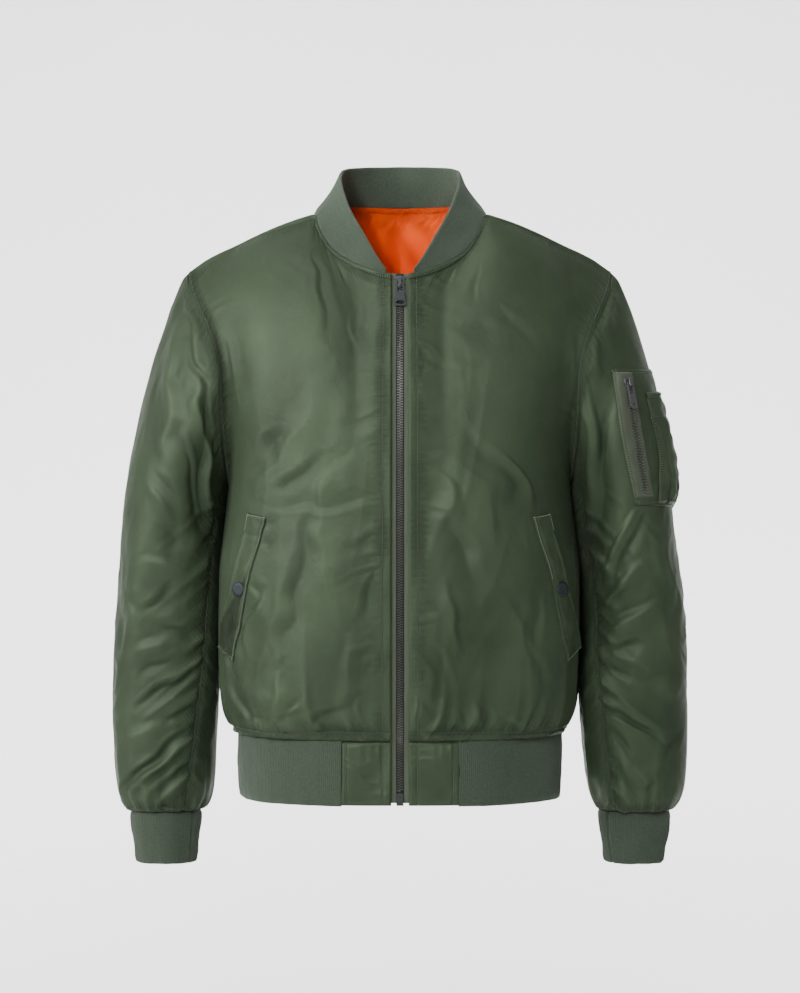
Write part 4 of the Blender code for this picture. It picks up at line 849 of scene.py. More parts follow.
CUFF_SECTIONS = table(
    SleeveSection,
    (-6411, 2160, 2905, -325, 385), (-6470, 2148, 2917, -337, 396), (-6600, 2158, 2907, -329, 387),
    (-6780, 2182, 2878, -310, 367), (-6950, 2205, 2850, -290, 345),
)
RIB_PITCH = 0.0021
RIB_HEIGHT = 0.00024
YARN_UNEVENNESS = 0.00012
RIB_WALL = 0.0028
CELLS_A_RIB = 4
CUFF_JOIN, CUFF_JOIN_GROOVE = 0.393, Groove(0.0016, 0.0010)


def new_tree(name, **inputs):
    """Geometry node tree with named inputs, and the sockets that those inputs come in by."""
    tree = bpy.data.node_groups.new(name, "GeometryNodeTree")
    for label, kind in inputs.items():
        tree.interface.new_socket(label, in_out="INPUT", socket_type="NodeSocket" + kind)
    tree.interface.new_socket("Made", in_out="OUTPUT", socket_type="NodeSocketGeometry")
    return tree, tree.nodes.new("NodeGroupInput").outputs


def closed_tree(tree, geometry, finish):
    """The tree with what it makes realized, painted and handed out."""
    real = add_node(tree, "GeometryNodeRealizeInstances", {0: geometry})
    paint = add_node(tree, "GeometryNodeSetMaterial", {"Geometry": real, "Material": finish})
    tree.links.new(paint, tree.nodes.new("NodeGroupOutput").inputs[0])
    return tree


def run_tree(obj, tree, **inputs):
    """Run a tree on an object and keep what it makes as the object's own mesh."""
    step = obj.modifiers.new(tree.name, "NODES")
    step.node_group = tree
    for item in tree.interface.items_tree:
        if item.name in inputs:
            step[item.identifier] = inputs[item.name]
    graph = bpy.context.evaluated_depsgraph_get()
    mesh = bpy.data.meshes.new_from_object(obj.evaluated_get(graph), depsgraph=graph)
    obj.modifiers.clear()
    obj.data = mesh
    return obj


def rib_tree():
    """Raises ribs on a knit wall, by how far each point lies along the band."""
    tree, given = new_tree("raise_knit_ribs", Cloth="Geometry", Height="Float", Unevenness="Float",
                           Yarn="Material")
    turn, share = (add_node(tree, "GeometryNodeInputNamedAttribute", {"Name": label}, "Attribute",
                            data_type="FLOAT") for label in ("rib_turn", "rib_share"))
    tall = compute(tree, "MULTIPLY", compute(tree, "COSINE", turn), given["Height"])
    yarn = add_node(tree, "TexNoise", {"Scale": 260.0, "Detail": 2.0})
    uneven = compute(tree, "MULTIPLY", yarn, given["Unevenness"])
    kept = compute(tree, "MULTIPLY", compute(tree, "ADD", tall, uneven), share)
    way = add_node(tree, "GeometryNodeInputNormal")
    push = add_node(tree, "VectorMath", {0: way, "Scale": kept}, operation="SCALE")
    moved = add_node(tree, "GeometryNodeSetPosition", {"Geometry": given["Cloth"], "Offset": push})
    return closed_tree(tree, moved, given["Yarn"])


RAISE_RIBS = rib_tree()


def rib_yarn(name, dark, light):
    """Matt knit yarn: flecked along each rib, with painted shade down between the ribs and painted light on
    their crests, and a short nap.
    """
    material, tree = new_finish(name, Roughness=0.92, Sheen_Weight=0.30, Sheen_Roughness=0.60,
                                Sheen_Tint=(0.75, 0.84, 0.74, 1.0), Specular_IOR_Level=0.20)
    uv = add_node(tree, "UVMap", uv_map="cloth")
    stretch = add_node(tree, "Mapping", {"Vector": uv, "Scale": (620.0, 330.0, 1.0)})
    fleck = add_node(tree, "TexNoise", {"Vector": stretch, "Scale": 1.0, "Detail": 2.0, "Roughness": 0.6})
    # The crest attribute paints light on each rib's crest and shade in the grooves between ribs.
    crest = compute(tree, "MULTIPLY", add_node(tree, "Attribute", give="Fac", attribute_name="crest"), 0.10)
    loops = add_node(tree, "TexWave", {"Vector": uv, "Scale": 190.0, "Distortion": 1.2, "Detail": 1.0}, "Fac",
                     bands_direction="Y")
    tone = compute(tree, "MULTIPLY_ADD", fleck, 0.85, crest)
    return finished(material, Base_Color=mixed(tree, tone, dark, light),
                    Normal=add_node(tree, "Bump", {"Height": loops, "Strength": 0.35, "Distance": 0.0002}))


SAGE_YARN = rib_yarn("sage_rib_yarn", (0.018, 0.028, 0.018), (0.082, 0.112, 0.077))
# A darker copy of the sage yarn for the cuffs and the hem band: painted shade, as less light reaches the
# lower parts.
LOW_SHADED_YARN = rib_yarn("stretched_rib_yarn", (0.015, 0.024, 0.015), (0.071, 0.098, 0.065))


def folded_wall(cloth, wall, joints=3):
    """Closed loop of rows: up the outside, over one edge, down the inside, round the other."""
    grid, out = cloth.grid, cloth.out
    wall = np.broadcast_to(wall, grid.shape[:2])
    rows = [grid]
    for row, inner in ((-1, -2), (0, 1)):
        past = grid[row] - grid[inner]
        past /= np.linalg.norm(past, axis=1, keepdims=True).clip(1e-9)
        half = wall[row][:, None] / 2
        bends = np.linspace(0.0, math.pi, joints + 2)[1:-1]
        arc = [grid[row] - out[row] * half * (1 - math.cos(t)) + past * half * math.sin(t) for t in bends]
        rows.append(np.array(arc if row == -1 else arc[::-1]))
    inside = (grid - out * wall[..., None])[::-1]
    return np.concatenate([rows[0], rows[1], inside, rows[2]])


def knit_piece(name, cloth, wall, ribs, yarn, around):
    """Ribbed wall of doubled knit, made as one closed skin."""
    loop = folded_wall(cloth, wall)
    rows, cells = loop.shape[:2]
    turn = np.tile(np.arange(cells) * FULL_TURN * ribs / (cells if around else cells - 1), (rows, 1))
    quads = grid_quads(rows + 1, cells, around) % (rows * cells)
    faces = quads.tolist()
    if not around:
        own = np.arange(rows * cells).reshape(rows, cells)
        faces += [own[:, 0].tolist(), own[::-1, -1].tolist()]
    length = cloth.run.mean(axis=0).max()
    run = turn / (FULL_TURN * ribs) * (length if not around else length * cells / (cells - 1))
    steps = np.linalg.norm(np.diff(loop, axis=0), axis=2)
    climb = np.concatenate([np.zeros((1, cells)), np.cumsum(steps, axis=0)])
    outer = len(cloth.grid)
    share = np.ones((rows, cells))
    share[:outer] = (1 - bell(cloth.rise + 0.0004, 0.0022))
    # Crest is painted shade between the ribs and painted light on their tops, fading out near the seam.
    crest = 0.5 + 0.5 * np.cos(turn) * share
    uvs = np.stack([run, climb], axis=-1).reshape(-1, 2)
    obj = finish_mesh(name, loop.reshape(-1, 3), faces, uvs, [yarn], [0] * len(faces),
                      length if around else 0.0,
                      [("rib_turn", turn), ("rib_share", share), ("crest", crest)])
    return run_tree(obj, RAISE_RIBS, Height=RIB_HEIGHT, Unevenness=YARN_UNEVENNESS, Yarn=yarn)


cuff_form = np.array([ring(section, 40) for section in CUFF_SECTIONS])
for side, way, seed in (("left", 1.0, 150), ("right", -1.0, 160)):
    form = cuff_form if way > 0 else cuff_form * MIRROR
    around = np.linalg.norm(np.roll(form[2], -1, axis=0) - form[2], axis=1).sum()
    ribs = round(around / RIB_PITCH)
    base = refine(form, 12, ribs * CELLS_A_RIB, closed=True)
    axis_point = (way * 0.253, 0.003, -0.668)
    cloth = measure(base, axis_point, closed=True)
    sag = 0.0006 * ripple(base, 0.030, seed) + 0.0003 * ripple(base, 0.012, seed + 1)
    girth = cloth.run[0, -1] + cloth.run[0, 1]
    sag += groove(abs(cloth.run - CUFF_JOIN * girth), CUFF_JOIN_GROOVE)
    cloth = moved_out(cloth, sag, axis_point)
    cuff = knit_piece("cuff_rib_" + side, cloth, RIB_WALL, ribs, LOW_SHADED_YARN, True)
    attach(cuff, "jacket")
    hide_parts("cuff_" + side)

# HEM BAND
# Doubled rib knit round the hem between two nylon end panels that carry the foot of the zip.
# The knit is stretched a little, so the nylon above it blouses.

BAND_SECTIONS = table(
    Section,
    (-6220, 1722, 1275, 1238), (-6100, 1730, 1281, 1244), (-5900, 1738, 1285, 1248),
    (-5700, 1738, 1285, 1248), (-5564, 1735, 1282, 1245),
)
BAND_END_WIDTH, BAND_OVERLAP, BAND_END_STITCH = 0.053, 0.0012, 0.0060
BAND_ZIP_PUCKER, BAND_TOP_PUCKER = Pucker(0.0120, 0.0009, 0.0110), Pucker(0.0110, 0.0010, 0.0120)
BAND_STITCH_GROOVE = Groove(0.0005, 0.0014)
band_ends, band_ribs = [], []
for section in BAND_SECTIONS:
    front = quarter_section(section.height, section.half_width, section.front_depth, ZIP_EDGE, -1.0, 300)
    rear = quarter_section(section.height, section.half_width, section.back_depth, 0.0, 1.0, 300)
    line = np.concatenate([front[::-1], rear[1:]])
    run = run_along(line)
    band_ends.append(cut_evenly(line[run < BAND_END_WIDTH], 8))
    half = cut_evenly(line[run > BAND_END_WIDTH - BAND_OVERLAP], 60)
    band_ribs.append(np.concatenate([half, half[-2::-1] * MIRROR]))
band_end_form, band_rib_form = np.array(band_ends), np.array(band_ribs)
length = np.linalg.norm(np.diff(band_rib_form[2], axis=0), axis=1).sum()
ribs = round(length / RIB_PITCH)
base = refine(band_rib_form, 10, ribs * CELLS_A_RIB)
cloth = measure(base, BODY_AXIS)
sag = 0.0009 * ripple(base, 0.060, 170) + 0.0003 * ripple(base, 0.018, 171)
cloth = moved_out(cloth, sag, BODY_AXIS)
band = knit_piece("hem_band_rib", cloth, RIB_WALL, ribs, LOW_SHADED_YARN, False)
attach(band, "jacket")
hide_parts("hem_rib")

band_end_cloths = {}
for side, way, seed in (("left", 1.0, 180), ("right", -1.0, 190)):
    form = band_end_form if way > 0 else band_end_form * MIRROR
    base = refine(form, 60, 50)
    cloth = measure(base, BODY_AXIS)
    to_zip, to_rib, _, to_top = edge_distances(cloth)
    shift = 0.0010 * ripple(base * np.array([1.0, 1.0, 0.8]), 0.050, seed)
    shift += 0.0004 * crumpled(base, 0.040, seed + 3)
    shift += pucker(cloth.rise, abs(to_zip - PLACKET_STITCH), BAND_ZIP_PUCKER, seed + 1)
    shift += pucker(cloth.run, to_top, BAND_TOP_PUCKER, seed + 2)
    shift *= 1 - bell(np.min(edge_distances(cloth), axis=0), 0.004)
    for away in (to_zip, to_rib, to_top):
        shift += groove(away, EDGE_GROOVE)
    for away in (abs(to_rib - BAND_END_STITCH), abs(to_zip - PLACKET_STITCH)):
        shift += groove(away, BAND_STITCH_GROOVE)
    band_end_cloths[side] = raised(cloth, shift, BODY_AXIS)
    panel = sewn_shell("band_end_panel_" + side, band_end_cloths[side], NYLON_WALL, OLIVE, OLIVE,
                       (shift / SHADE_RANGE).clip(-1, 1))
    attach(panel, "jacket")
    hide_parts("band_end_" + side)

# COLLAR
# Stand-up collar of the same doubled rib knit, sewn into the neckline from zip to zip. It stands
# high at the back and runs down to nothing at the top of the zip.

COLLAR_TOP = table(
    Spot,
    (150, -905, -655), (251, -850, -522), (382, -700, -290), (534, -500, -10), (628, -280, 250),
    (658, -100, 390), (654, 120, 478), (590, 440, 552), (400, 670, 592), (0, 780, 610),
)
COLLAR_START, COLLAR_BULGE, COLLAR_WALL = 0.45, -0.0016, 0.0032
COLLAR_AXIS = (0.0, -0.01, 0.01)
front_top, back_top = front_form[-1], back_form[-1, :HALF_CELLS + 1]
corner = front_top[-1] + COLLAR_START * (front_top[-2] - front_top[-1])
neck_half = np.concatenate([[corner], front_top[-2:SHOULDER_CELLS - 1:-1], back_top[SHOULDER_CELLS + 1:]])
steps = np.linalg.norm(np.diff(neck_half, axis=0), axis=1)
marks = np.concatenate([[0.0], np.cumsum(steps)]) / steps.sum()
crown = curve_through(COLLAR_TOP, 200)
crown_half = points_at(marks, np.linspace(0.0, 1.0, 201), crown)
foot_line = np.concatenate([neck_half, neck_half[-2::-1] * MIRROR])
crown_line = np.concatenate([crown_half, crown_half[-2::-1] * MIRROR])
collar_rise = np.linalg.norm(crown_line - foot_line, axis=1)
foot_line = foot_line + 0.0006 * (crown_line - foot_line) / collar_rise[:, None]
shares = np.linspace(0.0, 1.0, 7)
form = foot_line + shares[:, None, None] * (crown_line - foot_line)
swell = COLLAR_BULGE * np.outer(np.sin(math.pi * shares), collar_rise / collar_rise.max())
form = form + measure(form, COLLAR_AXIS).out * swell[..., None]
length = np.linalg.norm(np.diff(foot_line, axis=0), axis=1).sum()
ribs = round(length / RIB_PITCH)
base = refine(form, 13, ribs * CELLS_A_RIB)
sunk = bell(np.linspace(0.0, 1.0, len(base))[:, None], 0.25) * bell(base[..., 1] + 0.091, 0.012)
base[..., 2] -= 0.0022 * sunk
cloth = measure(base, COLLAR_AXIS)
sag = 0.0006 * ripple(base, 0.045, 200) + 0.0002 * ripple(base, 0.015, 201)
sag *= (cloth.rise[-1] / 0.03).clip(0.0, 1.0)
cloth = moved_out(cloth, sag, COLLAR_AXIS)
wall = COLLAR_WALL * np.interp(np.arange(base.shape[1]), np.linspace(0, base.shape[1] - 1, len(collar_rise)),
                               (collar_rise / 0.014).clip(0.4, 1.0))
collar = knit_piece("collar_rib", cloth, wall, ribs, SAGE_YARN, False)
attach(collar, "jacket")
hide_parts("collar")

# NECK LINING
# Orange lining inside the back of the neck, gathered under a stitched band where it meets the
# collar and hanging in soft folds behind the open neck.

NECK_LINING_SPACE, NECK_LINING_WALL = 0.0012, 0.0008
LINING_STITCH, LINING_GROOVE = 0.0062, Groove(0.0012, 0.0010)
LINING_AXIS = (0.0, 0.9, -0.1)
low_row, first_cell = int(0.42 * len(back_base)), int(13 / 40 * (back_base.shape[1] - 1))
plain_back = measure(back_base, BODY_AXIS)
base = back_base - plain_back.out * (NYLON_WALL + NECK_LINING_SPACE + NECK_LINING_WALL)
base = refine(base[low_row:, first_cell:back_base.shape[1] - first_cell], 110, 100, finer_ends=4.0)
cloth = measure(base, LINING_AXIS)
to_top = cloth.rise[-1:] - cloth.rise
folds = 0.5 + 0.5 * ripple(base * np.array([1.0, 1.0, 0.35]), 0.026, 210)
shift = 0.0070 * folds * (to_top / 0.02).clip(0, 1)
tucks = abs(np.sin(cloth.run / 0.0036 + 1.6 * ripple(base, 0.03, 211)))
shift += 0.0032 * tucks * bell(to_top - 0.014, 0.009)
shift += groove(abs(to_top - LINING_STITCH), LINING_GROOVE) + 0.0010 * bell(to_top - 0.0032, 0.0026, 4)
shift += 0.0030 * (to_top / 0.12).clip(0, 1)
neck_lining_cloth = raised(cloth, shift, LINING_AXIS)
gathers = bell(to_top - 0.0050, 0.0090)
# The lining's fold heights go in as lift: painted shade in its hollows and painted light on its folds.
neck_lining = sewn_shell("neck_lining", neck_lining_cloth, NECK_LINING_WALL, ORANGE, ORANGE,
                         (shift / 0.003).clip(-1, 1), None, gathers)
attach(neck_lining, "jacket")
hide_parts("lining_back")

# MAIN ZIP
# A metal zip closed to the collar: woven tapes behind the folded fronts, interlocked teeth, a
# box at the foot, and a slider with a slotted pull tab that hangs from its bridge.

TAPE_WALL, TAPE_DEPTH, TAPE_REACH, TAPE_FOOT_GAP = 0.0010, 0.0030, 0.019, 0.0025
TOOTH_PITCH, TOOTH_DEPTH = 0.0027, 0.0030
TEETH_START, TEETH_END, TOP_STOP = 0.0129, 0.0105, 0.0012
TOOTH_OUTLINE = [(-0.0005, 0.00022), (-0.0002, 0.00046), (0.0003, 0.00050), (0.0009, 0.00038),
                 (0.0016, 0.00052), (0.0034, 0.00052), (0.0036, 0.00036)]


def place_tree():
    """Sets one piece at every point of a line, turned with the cloth, a little unevenly."""
    tree, given = new_tree("set_pieces_along", Line="Geometry", Piece="Object", Length="Float", Depth="Float",
                           Width="Float", Unevenness="Float", Seed="Int", Finish="Material")
    piece = add_node(tree, "GeometryNodeObjectInfo", {"Object": given["Piece"]}, "Geometry",
                     transform_space="ORIGINAL")
    turn = add_node(tree, "GeometryNodeInputNamedAttribute", {"Name": "turn"}, "Attribute",
                    data_type="QUATERNION")
    low, high = (compute(tree, way, 1.0, given["Unevenness"]) for way in ("SUBTRACT", "ADD"))
    uneven = add_node(tree, "FunctionNodeRandomValue", {2: low, 3: high, "Seed": given["Seed"]}, 1,
                      data_type="FLOAT")
    length = compute(tree, "MULTIPLY", given["Length"], uneven)
    size = add_node(tree, "CombineXYZ", {0: length, 1: given["Depth"], 2: given["Width"]})
    spread = add_node(tree, "GeometryNodeInstanceOnPoints",
                      {"Points": given["Line"], "Instance": piece, "Rotation": turn, "Scale": size})
    return closed_tree(tree, spread, given["Finish"])


SET_ALONG = place_tree()


def quaternion_of(across, out):
    """Turn that lays a piece's x along a line and its y into the cloth."""
    x = across / np.linalg.norm(across, axis=-1, keepdims=True)
    y = -(out - np.sum(out * x, axis=-1, keepdims=True) * x)
    y /= np.linalg.norm(y, axis=-1, keepdims=True)
    z = np.cross(x, y)
    return [Matrix(np.stack([a, b, c], axis=1).tolist()).to_quaternion() for a, b, c in zip(x, y, z)]


def set_pieces(name, spots, facings, piece, size, uneven, seed, finish):
    """One mesh of many small equal pieces, each at its spot and turn."""
    mesh = bpy.data.meshes.new(name)
    mesh.from_pydata([tuple(map(float, spot)) for spot in spots], [], [])
    made = mesh.attributes.new("turn", "QUATERNION", "POINT")
    made.data.foreach_set("value", np.array([tuple(facing) for facing in facings], np.float32).ravel())
    obj = new_object(name, mesh)
    return run_tree(obj, SET_ALONG, Piece=piece, Length=size[0], Depth=size[1], Width=size[2],
                    Unevenness=uneven, Seed=seed, Finish=finish)


def small_piece(name, points, faces, dent_shades=()):
    """Pattern mesh for a repeated piece; it is taken away once its rows are made."""
    mesh = bpy.data.meshes.new(name)
    mesh.from_pydata(points, [], faces)
    if len(dent_shades):
        mesh.attributes.new("dent", "FLOAT", "POINT").data.foreach_set("value", np.array(dent_shades, np.float32))
    turn_outwards(mesh)
    return new_object(name, mesh)


def dark_metal(name, dark, light, rough):
    """Dark plated metal: fine brushing and cloudy plating, lighter and darker in random patches."""
    material, tree = new_finish(name, Metallic=0.85, Specular_IOR_Level=0.5)
    place = add_node(tree, "TexCoord", give="Object")
    cloud = add_node(tree, "TexNoise", {"Vector": place, "Scale": 420.0, "Detail": 4.0, "Roughness": 0.6})
    brush = add_node(tree, "Mapping", {"Vector": place, "Scale": (1.0, 1.0, 0.12)})
    fine = add_node(tree, "TexNoise", {"Vector": brush, "Scale": 2600.0, "Detail": 2.0})
    return finished(material, Base_Color=mixed(tree, cloud, dark, light),
                    Roughness=add_node(tree, "MapRange", {"Value": cloud, 3: rough[0], 4: rough[1]}),
                    Normal=add_node(tree, "Bump", {"Height": fine, "Strength": 0.25, "Distance": 0.0001}))


def woven_tape(name, dark, light):
    """Matt herringbone tape on its own map, darker between the yarns, with painted shade beside the teeth
    from the lift attribute.
    """
    material, tree = new_finish(name, Roughness=0.88, Sheen_Weight=0.15, Specular_IOR_Level=0.25)
    uv = add_node(tree, "UVMap", uv_map="cloth")
    weave = add_node(tree, "TexWave", {"Vector": uv, "Scale": 330.0, "Distortion": 0.8, "Detail": 1.0}, "Fac",
                     bands_direction="DIAGONAL")
    fleck = add_node(tree, "TexNoise", {"Vector": uv, "Scale": 900.0, "Detail": 2.0})
    tone = compute(tree, "MULTIPLY_ADD", fleck, 0.5, compute(tree, "MULTIPLY", weave, 0.5))
    lift = add_node(tree, "Attribute", give="Fac", attribute_name="lift")
    # The lift attribute, -1 beside the teeth, paints shade onto the tape next to the chain.
    weave_and_painted_shade = add_node(tree, "Math", {0: tone, 1: lift}, operation="ADD", use_clamp=True)
    return finished(material, Base_Color=mixed(tree, weave_and_painted_shade, dark, light),
                    Normal=add_node(tree, "Bump", {"Height": weave, "Strength": 0.5, "Distance": 0.0002}))


GUNMETAL = dark_metal("dark_plated_metal", (0.026, 0.029, 0.031), (0.095, 0.104, 0.110), (0.42, 0.58))
TEETH_METAL = dark_metal("worn_zip_teeth", (0.050, 0.053, 0.050), (0.340, 0.345, 0.330), (0.24, 0.38))
SLIDER_METAL = dark_metal("polished_slider_metal", (0.085, 0.090, 0.096), (0.240, 0.247, 0.256), (0.20, 0.36))
TAPE = woven_tape("olive_zip_tape", (0.008, 0.011, 0.007), (0.150, 0.186, 0.124))

edge_line = np.concatenate([front_form[:0:-1, -1], band_end_form[::-1, 0]])
next_line = np.concatenate([front_form[:0:-1, -2], band_end_form[::-1, 1]])
outs = np.concatenate([measure(front_form, BODY_AXIS).out[:0:-1, -1],
                       np.tile([0.0, -1.0, 0.0], (len(BAND_SECTIONS), 1))])
outs[:, 0] = 0.0
outs /= np.linalg.norm(outs, axis=1, keepdims=True)
near_chain = edge_line.copy()
near_chain[:, 0] = 0.00002
reach = (TAPE_REACH - ZIP_EDGE) / (next_line[:, 0] - ZIP_EDGE)
under = edge_line + (next_line - edge_line) * reach[:, None]
tape_form = np.stack([near_chain, edge_line, under], axis=1) - outs[:, None] * TAPE_DEPTH
tape_form[0] += 0.12 * (tape_form[1] - tape_form[0])
tape_form[-1, :, 2] += TAPE_FOOT_GAP
long_tape = tape_form.copy()
long_tape[0] -= 0.19 * (tape_form[1] - tape_form[0])
for side, way in (("left", 1.0), ("right", -1.0)):
    form = long_tape if way > 0 else long_tape * MIRROR
    base = refine(form, 200, 16)
    cloth = measure(base, BODY_AXIS)
    wave = 0.00025 * ripple(base, 0.012, 220) * (cloth.run > 0.003)
    # The strip within 3.4 mm of the chain gets lift -1: painted shade beside the teeth.
    tape = sewn_shell("zip_tape_woven_" + side, raised(cloth, wave, BODY_AXIS), TAPE_WALL, TAPE, TAPE,
                      -1.0 * (cloth.run < 0.0034))
    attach(tape, "jacket")
    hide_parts("zip_tape_" + side)

middle = tape_form[:, 0] - outs * TAPE_WALL / 2
middle[:, 0] = 0.0
middle = curve_through(middle, 600)
travel = run_along(middle)
tooth_count = int((travel[-1] - TEETH_START - TEETH_END) / (TOOTH_PITCH / 2))
tooth_travel = TEETH_START + np.arange(tooth_count) * TOOTH_PITCH / 2
spots = points_at(tooth_travel, travel, middle)
along = points_at(tooth_travel + 0.001, travel, middle) - points_at(tooth_travel - 0.001, travel, middle)
tooth_out = np.stack([np.zeros(tooth_count), along[:, 2], -along[:, 1]], axis=1)
tooth_out *= np.sign(-tooth_out[:, 1])[:, None]
across = np.tile([1.0, 0.0, 0.0], (tooth_count, 1)) * np.where(np.arange(tooth_count) % 2, 1.0, -1.0)[:, None]
outline = TOOTH_OUTLINE + [(x, -z) for x, z in reversed(TOOTH_OUTLINE)]
count = len(outline)
points = [(x, y * TOOTH_DEPTH / 2, z * (0.82 if abs(y) == 1 else 1.0)) for y in (-1, -0.5, 1)
          for x, z in outline]
faces = [(k * count + i, k * count + (i + 1) % count, (k + 1) * count + (i + 1) % count, (k + 1) * count + i)
         for k in range(2) for i in range(count)]
faces += [tuple(range(count)), tuple(range(3 * count - 1, 2 * count - 1, -1))]
tooth = small_piece("zip_tooth", points, faces)
teeth = set_pieces("zip_teeth", spots, quaternion_of(across, tooth_out), tooth, (0.86, 1.0, 1.05), 0.02, 5,
                   TEETH_METAL)
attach(teeth, "jacket")
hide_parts("zip_chain")
stop = points_at([TOP_STOP], travel, middle)[0] + 0.0008 * tooth_out[0]
stops = set_pieces("zip_top_stops", np.array([stop + [0.0030, 0.0, 0.0], stop - [0.0030, 0.0, 0.0]]),
                   quaternion_of(np.array([[1.0, 0.0, 0.0], [-1.0, 0.0, 0.0]]), tooth_out[:2]), tooth,
                   (1.1, 0.8, 3.0), 0.0, 7, SLIDER_METAL)
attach(stops, "jacket")


def finer_metal(name, node, body, width, finish):
    """The zip maker's casting: a CAD piece with its edges rounded and its faces made whole."""
    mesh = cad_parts[node].data.copy()
    mesh.name = name
    form = bmesh.new()
    form.from_mesh(mesh)
    bmesh.ops.remove_doubles(form, verts=form.verts, dist=2e-6)
    bmesh.ops.dissolve_limit(form, angle_limit=math.radians(3), verts=form.verts, edges=form.edges)
    form.to_mesh(mesh)
    form.free()
    mesh.materials.clear()
    mesh.materials.append(finish)
    obj = new_object(name, mesh)
    soft = obj.modifiers.new("rounded", "BEVEL")
    soft.width, soft.segments, soft.limit_method, soft.angle_limit = width, 3, "ANGLE", math.radians(35)
    soft.use_clamp_overlap = True
    mesh.shade_smooth()
    mesh.set_sharp_from_angle(angle=math.radians(40))
    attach(obj, body)
    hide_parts(node)
    return obj


finer_metal("zip_box_casting", "zip_box", "jacket", 0.0005, GUNMETAL)
finer_metal("zip_slider_casting", "zip_slider", "jacket", 0.0004, SLIDER_METAL)
finer_metal("zip_pull_tab_casting", "zip_pull", "zip_pull_tab", 0.0003, GUNMETAL)

# POCKET WELTS AND SNAPS
# Each front has a slanted pocket under a folded welt, stitched along its seam, bar-tacked and
# held halfway by a dark snap button. The right pocket gapes a little below its snap.

Strip = namedtuple("Strip", "outer outer_height inner inner_height")
POCKET_WELT = [
    Strip(29.3, -0.3205, 37.9, -0.3240),
    Strip(23.4, -0.3930, 31.2, -0.3980),
    Strip(17.5, -0.4280, 28.2, -0.4370),
    Strip(12.5, -0.4640, 23.4, -0.4765),
]
WELT_SEAM, WELT_CROSS, MOUTH_TOP = 0.0036, 0.0210, 0.1080
WELT_SEAM_GROOVE, WELT_CROSS_GROOVE = Groove(0.0016, 0.0009), Groove(0.0009, 0.0010)
WELT_PUCKER = Pucker(0.0120, 0.0010, 0.0070)
PATCH_WALL, PATCH_SHADE = 0.0014, 0.002
SNAP_ANGLE, SNAP_HEIGHT, SNAP_SIDES, SNAP_FORWARD = 27.6, -0.4000, 48, 1.4
SNAP_PROFILE = [(0.0080, -0.0010), (0.0083, -0.0001), (0.0082, 0.0003), (0.0078, 0.0005), (0.0074, 0.0002),
                (0.0072, 0.0006), (0.0070, 0.0014), (0.0065, 0.0019), (0.0056, 0.0021), (0.0040, 0.0021),
                (0.0006, 0.0021)]


def cloth_tree(cloth):
    return BVHTree.FromPolygons(cloth.grid.reshape(-1, 3).tolist(),
                                grid_quads(*cloth.grid.shape[:2], cloth.closed).tolist())


def seat(tree, axis, angle, height, way):
    """Point on a cloth seen from its axis at an angle and height, and the way out there."""
    turn = math.radians(angle)
    look = Vector((way * math.cos(turn), -math.sin(turn), 0.0))
    point, normal, _, _ = tree.ray_cast(Vector((way * axis[0], axis[1], height)), look)
    return np.array(point), np.array(normal if normal.dot(look) > 0.0 else -normal)


def laid_on(tree, axis, strips, rows, cells, way):
    """Cloth laid on another between the two edges of a strip table, following its creases."""
    lines = in_between(np.array(strips, float), np.linspace(0.0, len(strips) - 1.0, rows + 1))
    grid = np.zeros((rows + 1, cells + 1, 3))
    for r, (outer, outer_height, inner, inner_height) in enumerate(lines):
        for c, share in enumerate(np.linspace(0.0, 1.0, cells + 1)):
            grid[r, c] = seat(tree, axis, outer + share * (inner - outer),
                              outer_height + share * (inner_height - outer_height), way)[0]
    return measure(grid, (way * axis[0], axis[1], grid[..., 2].mean()))
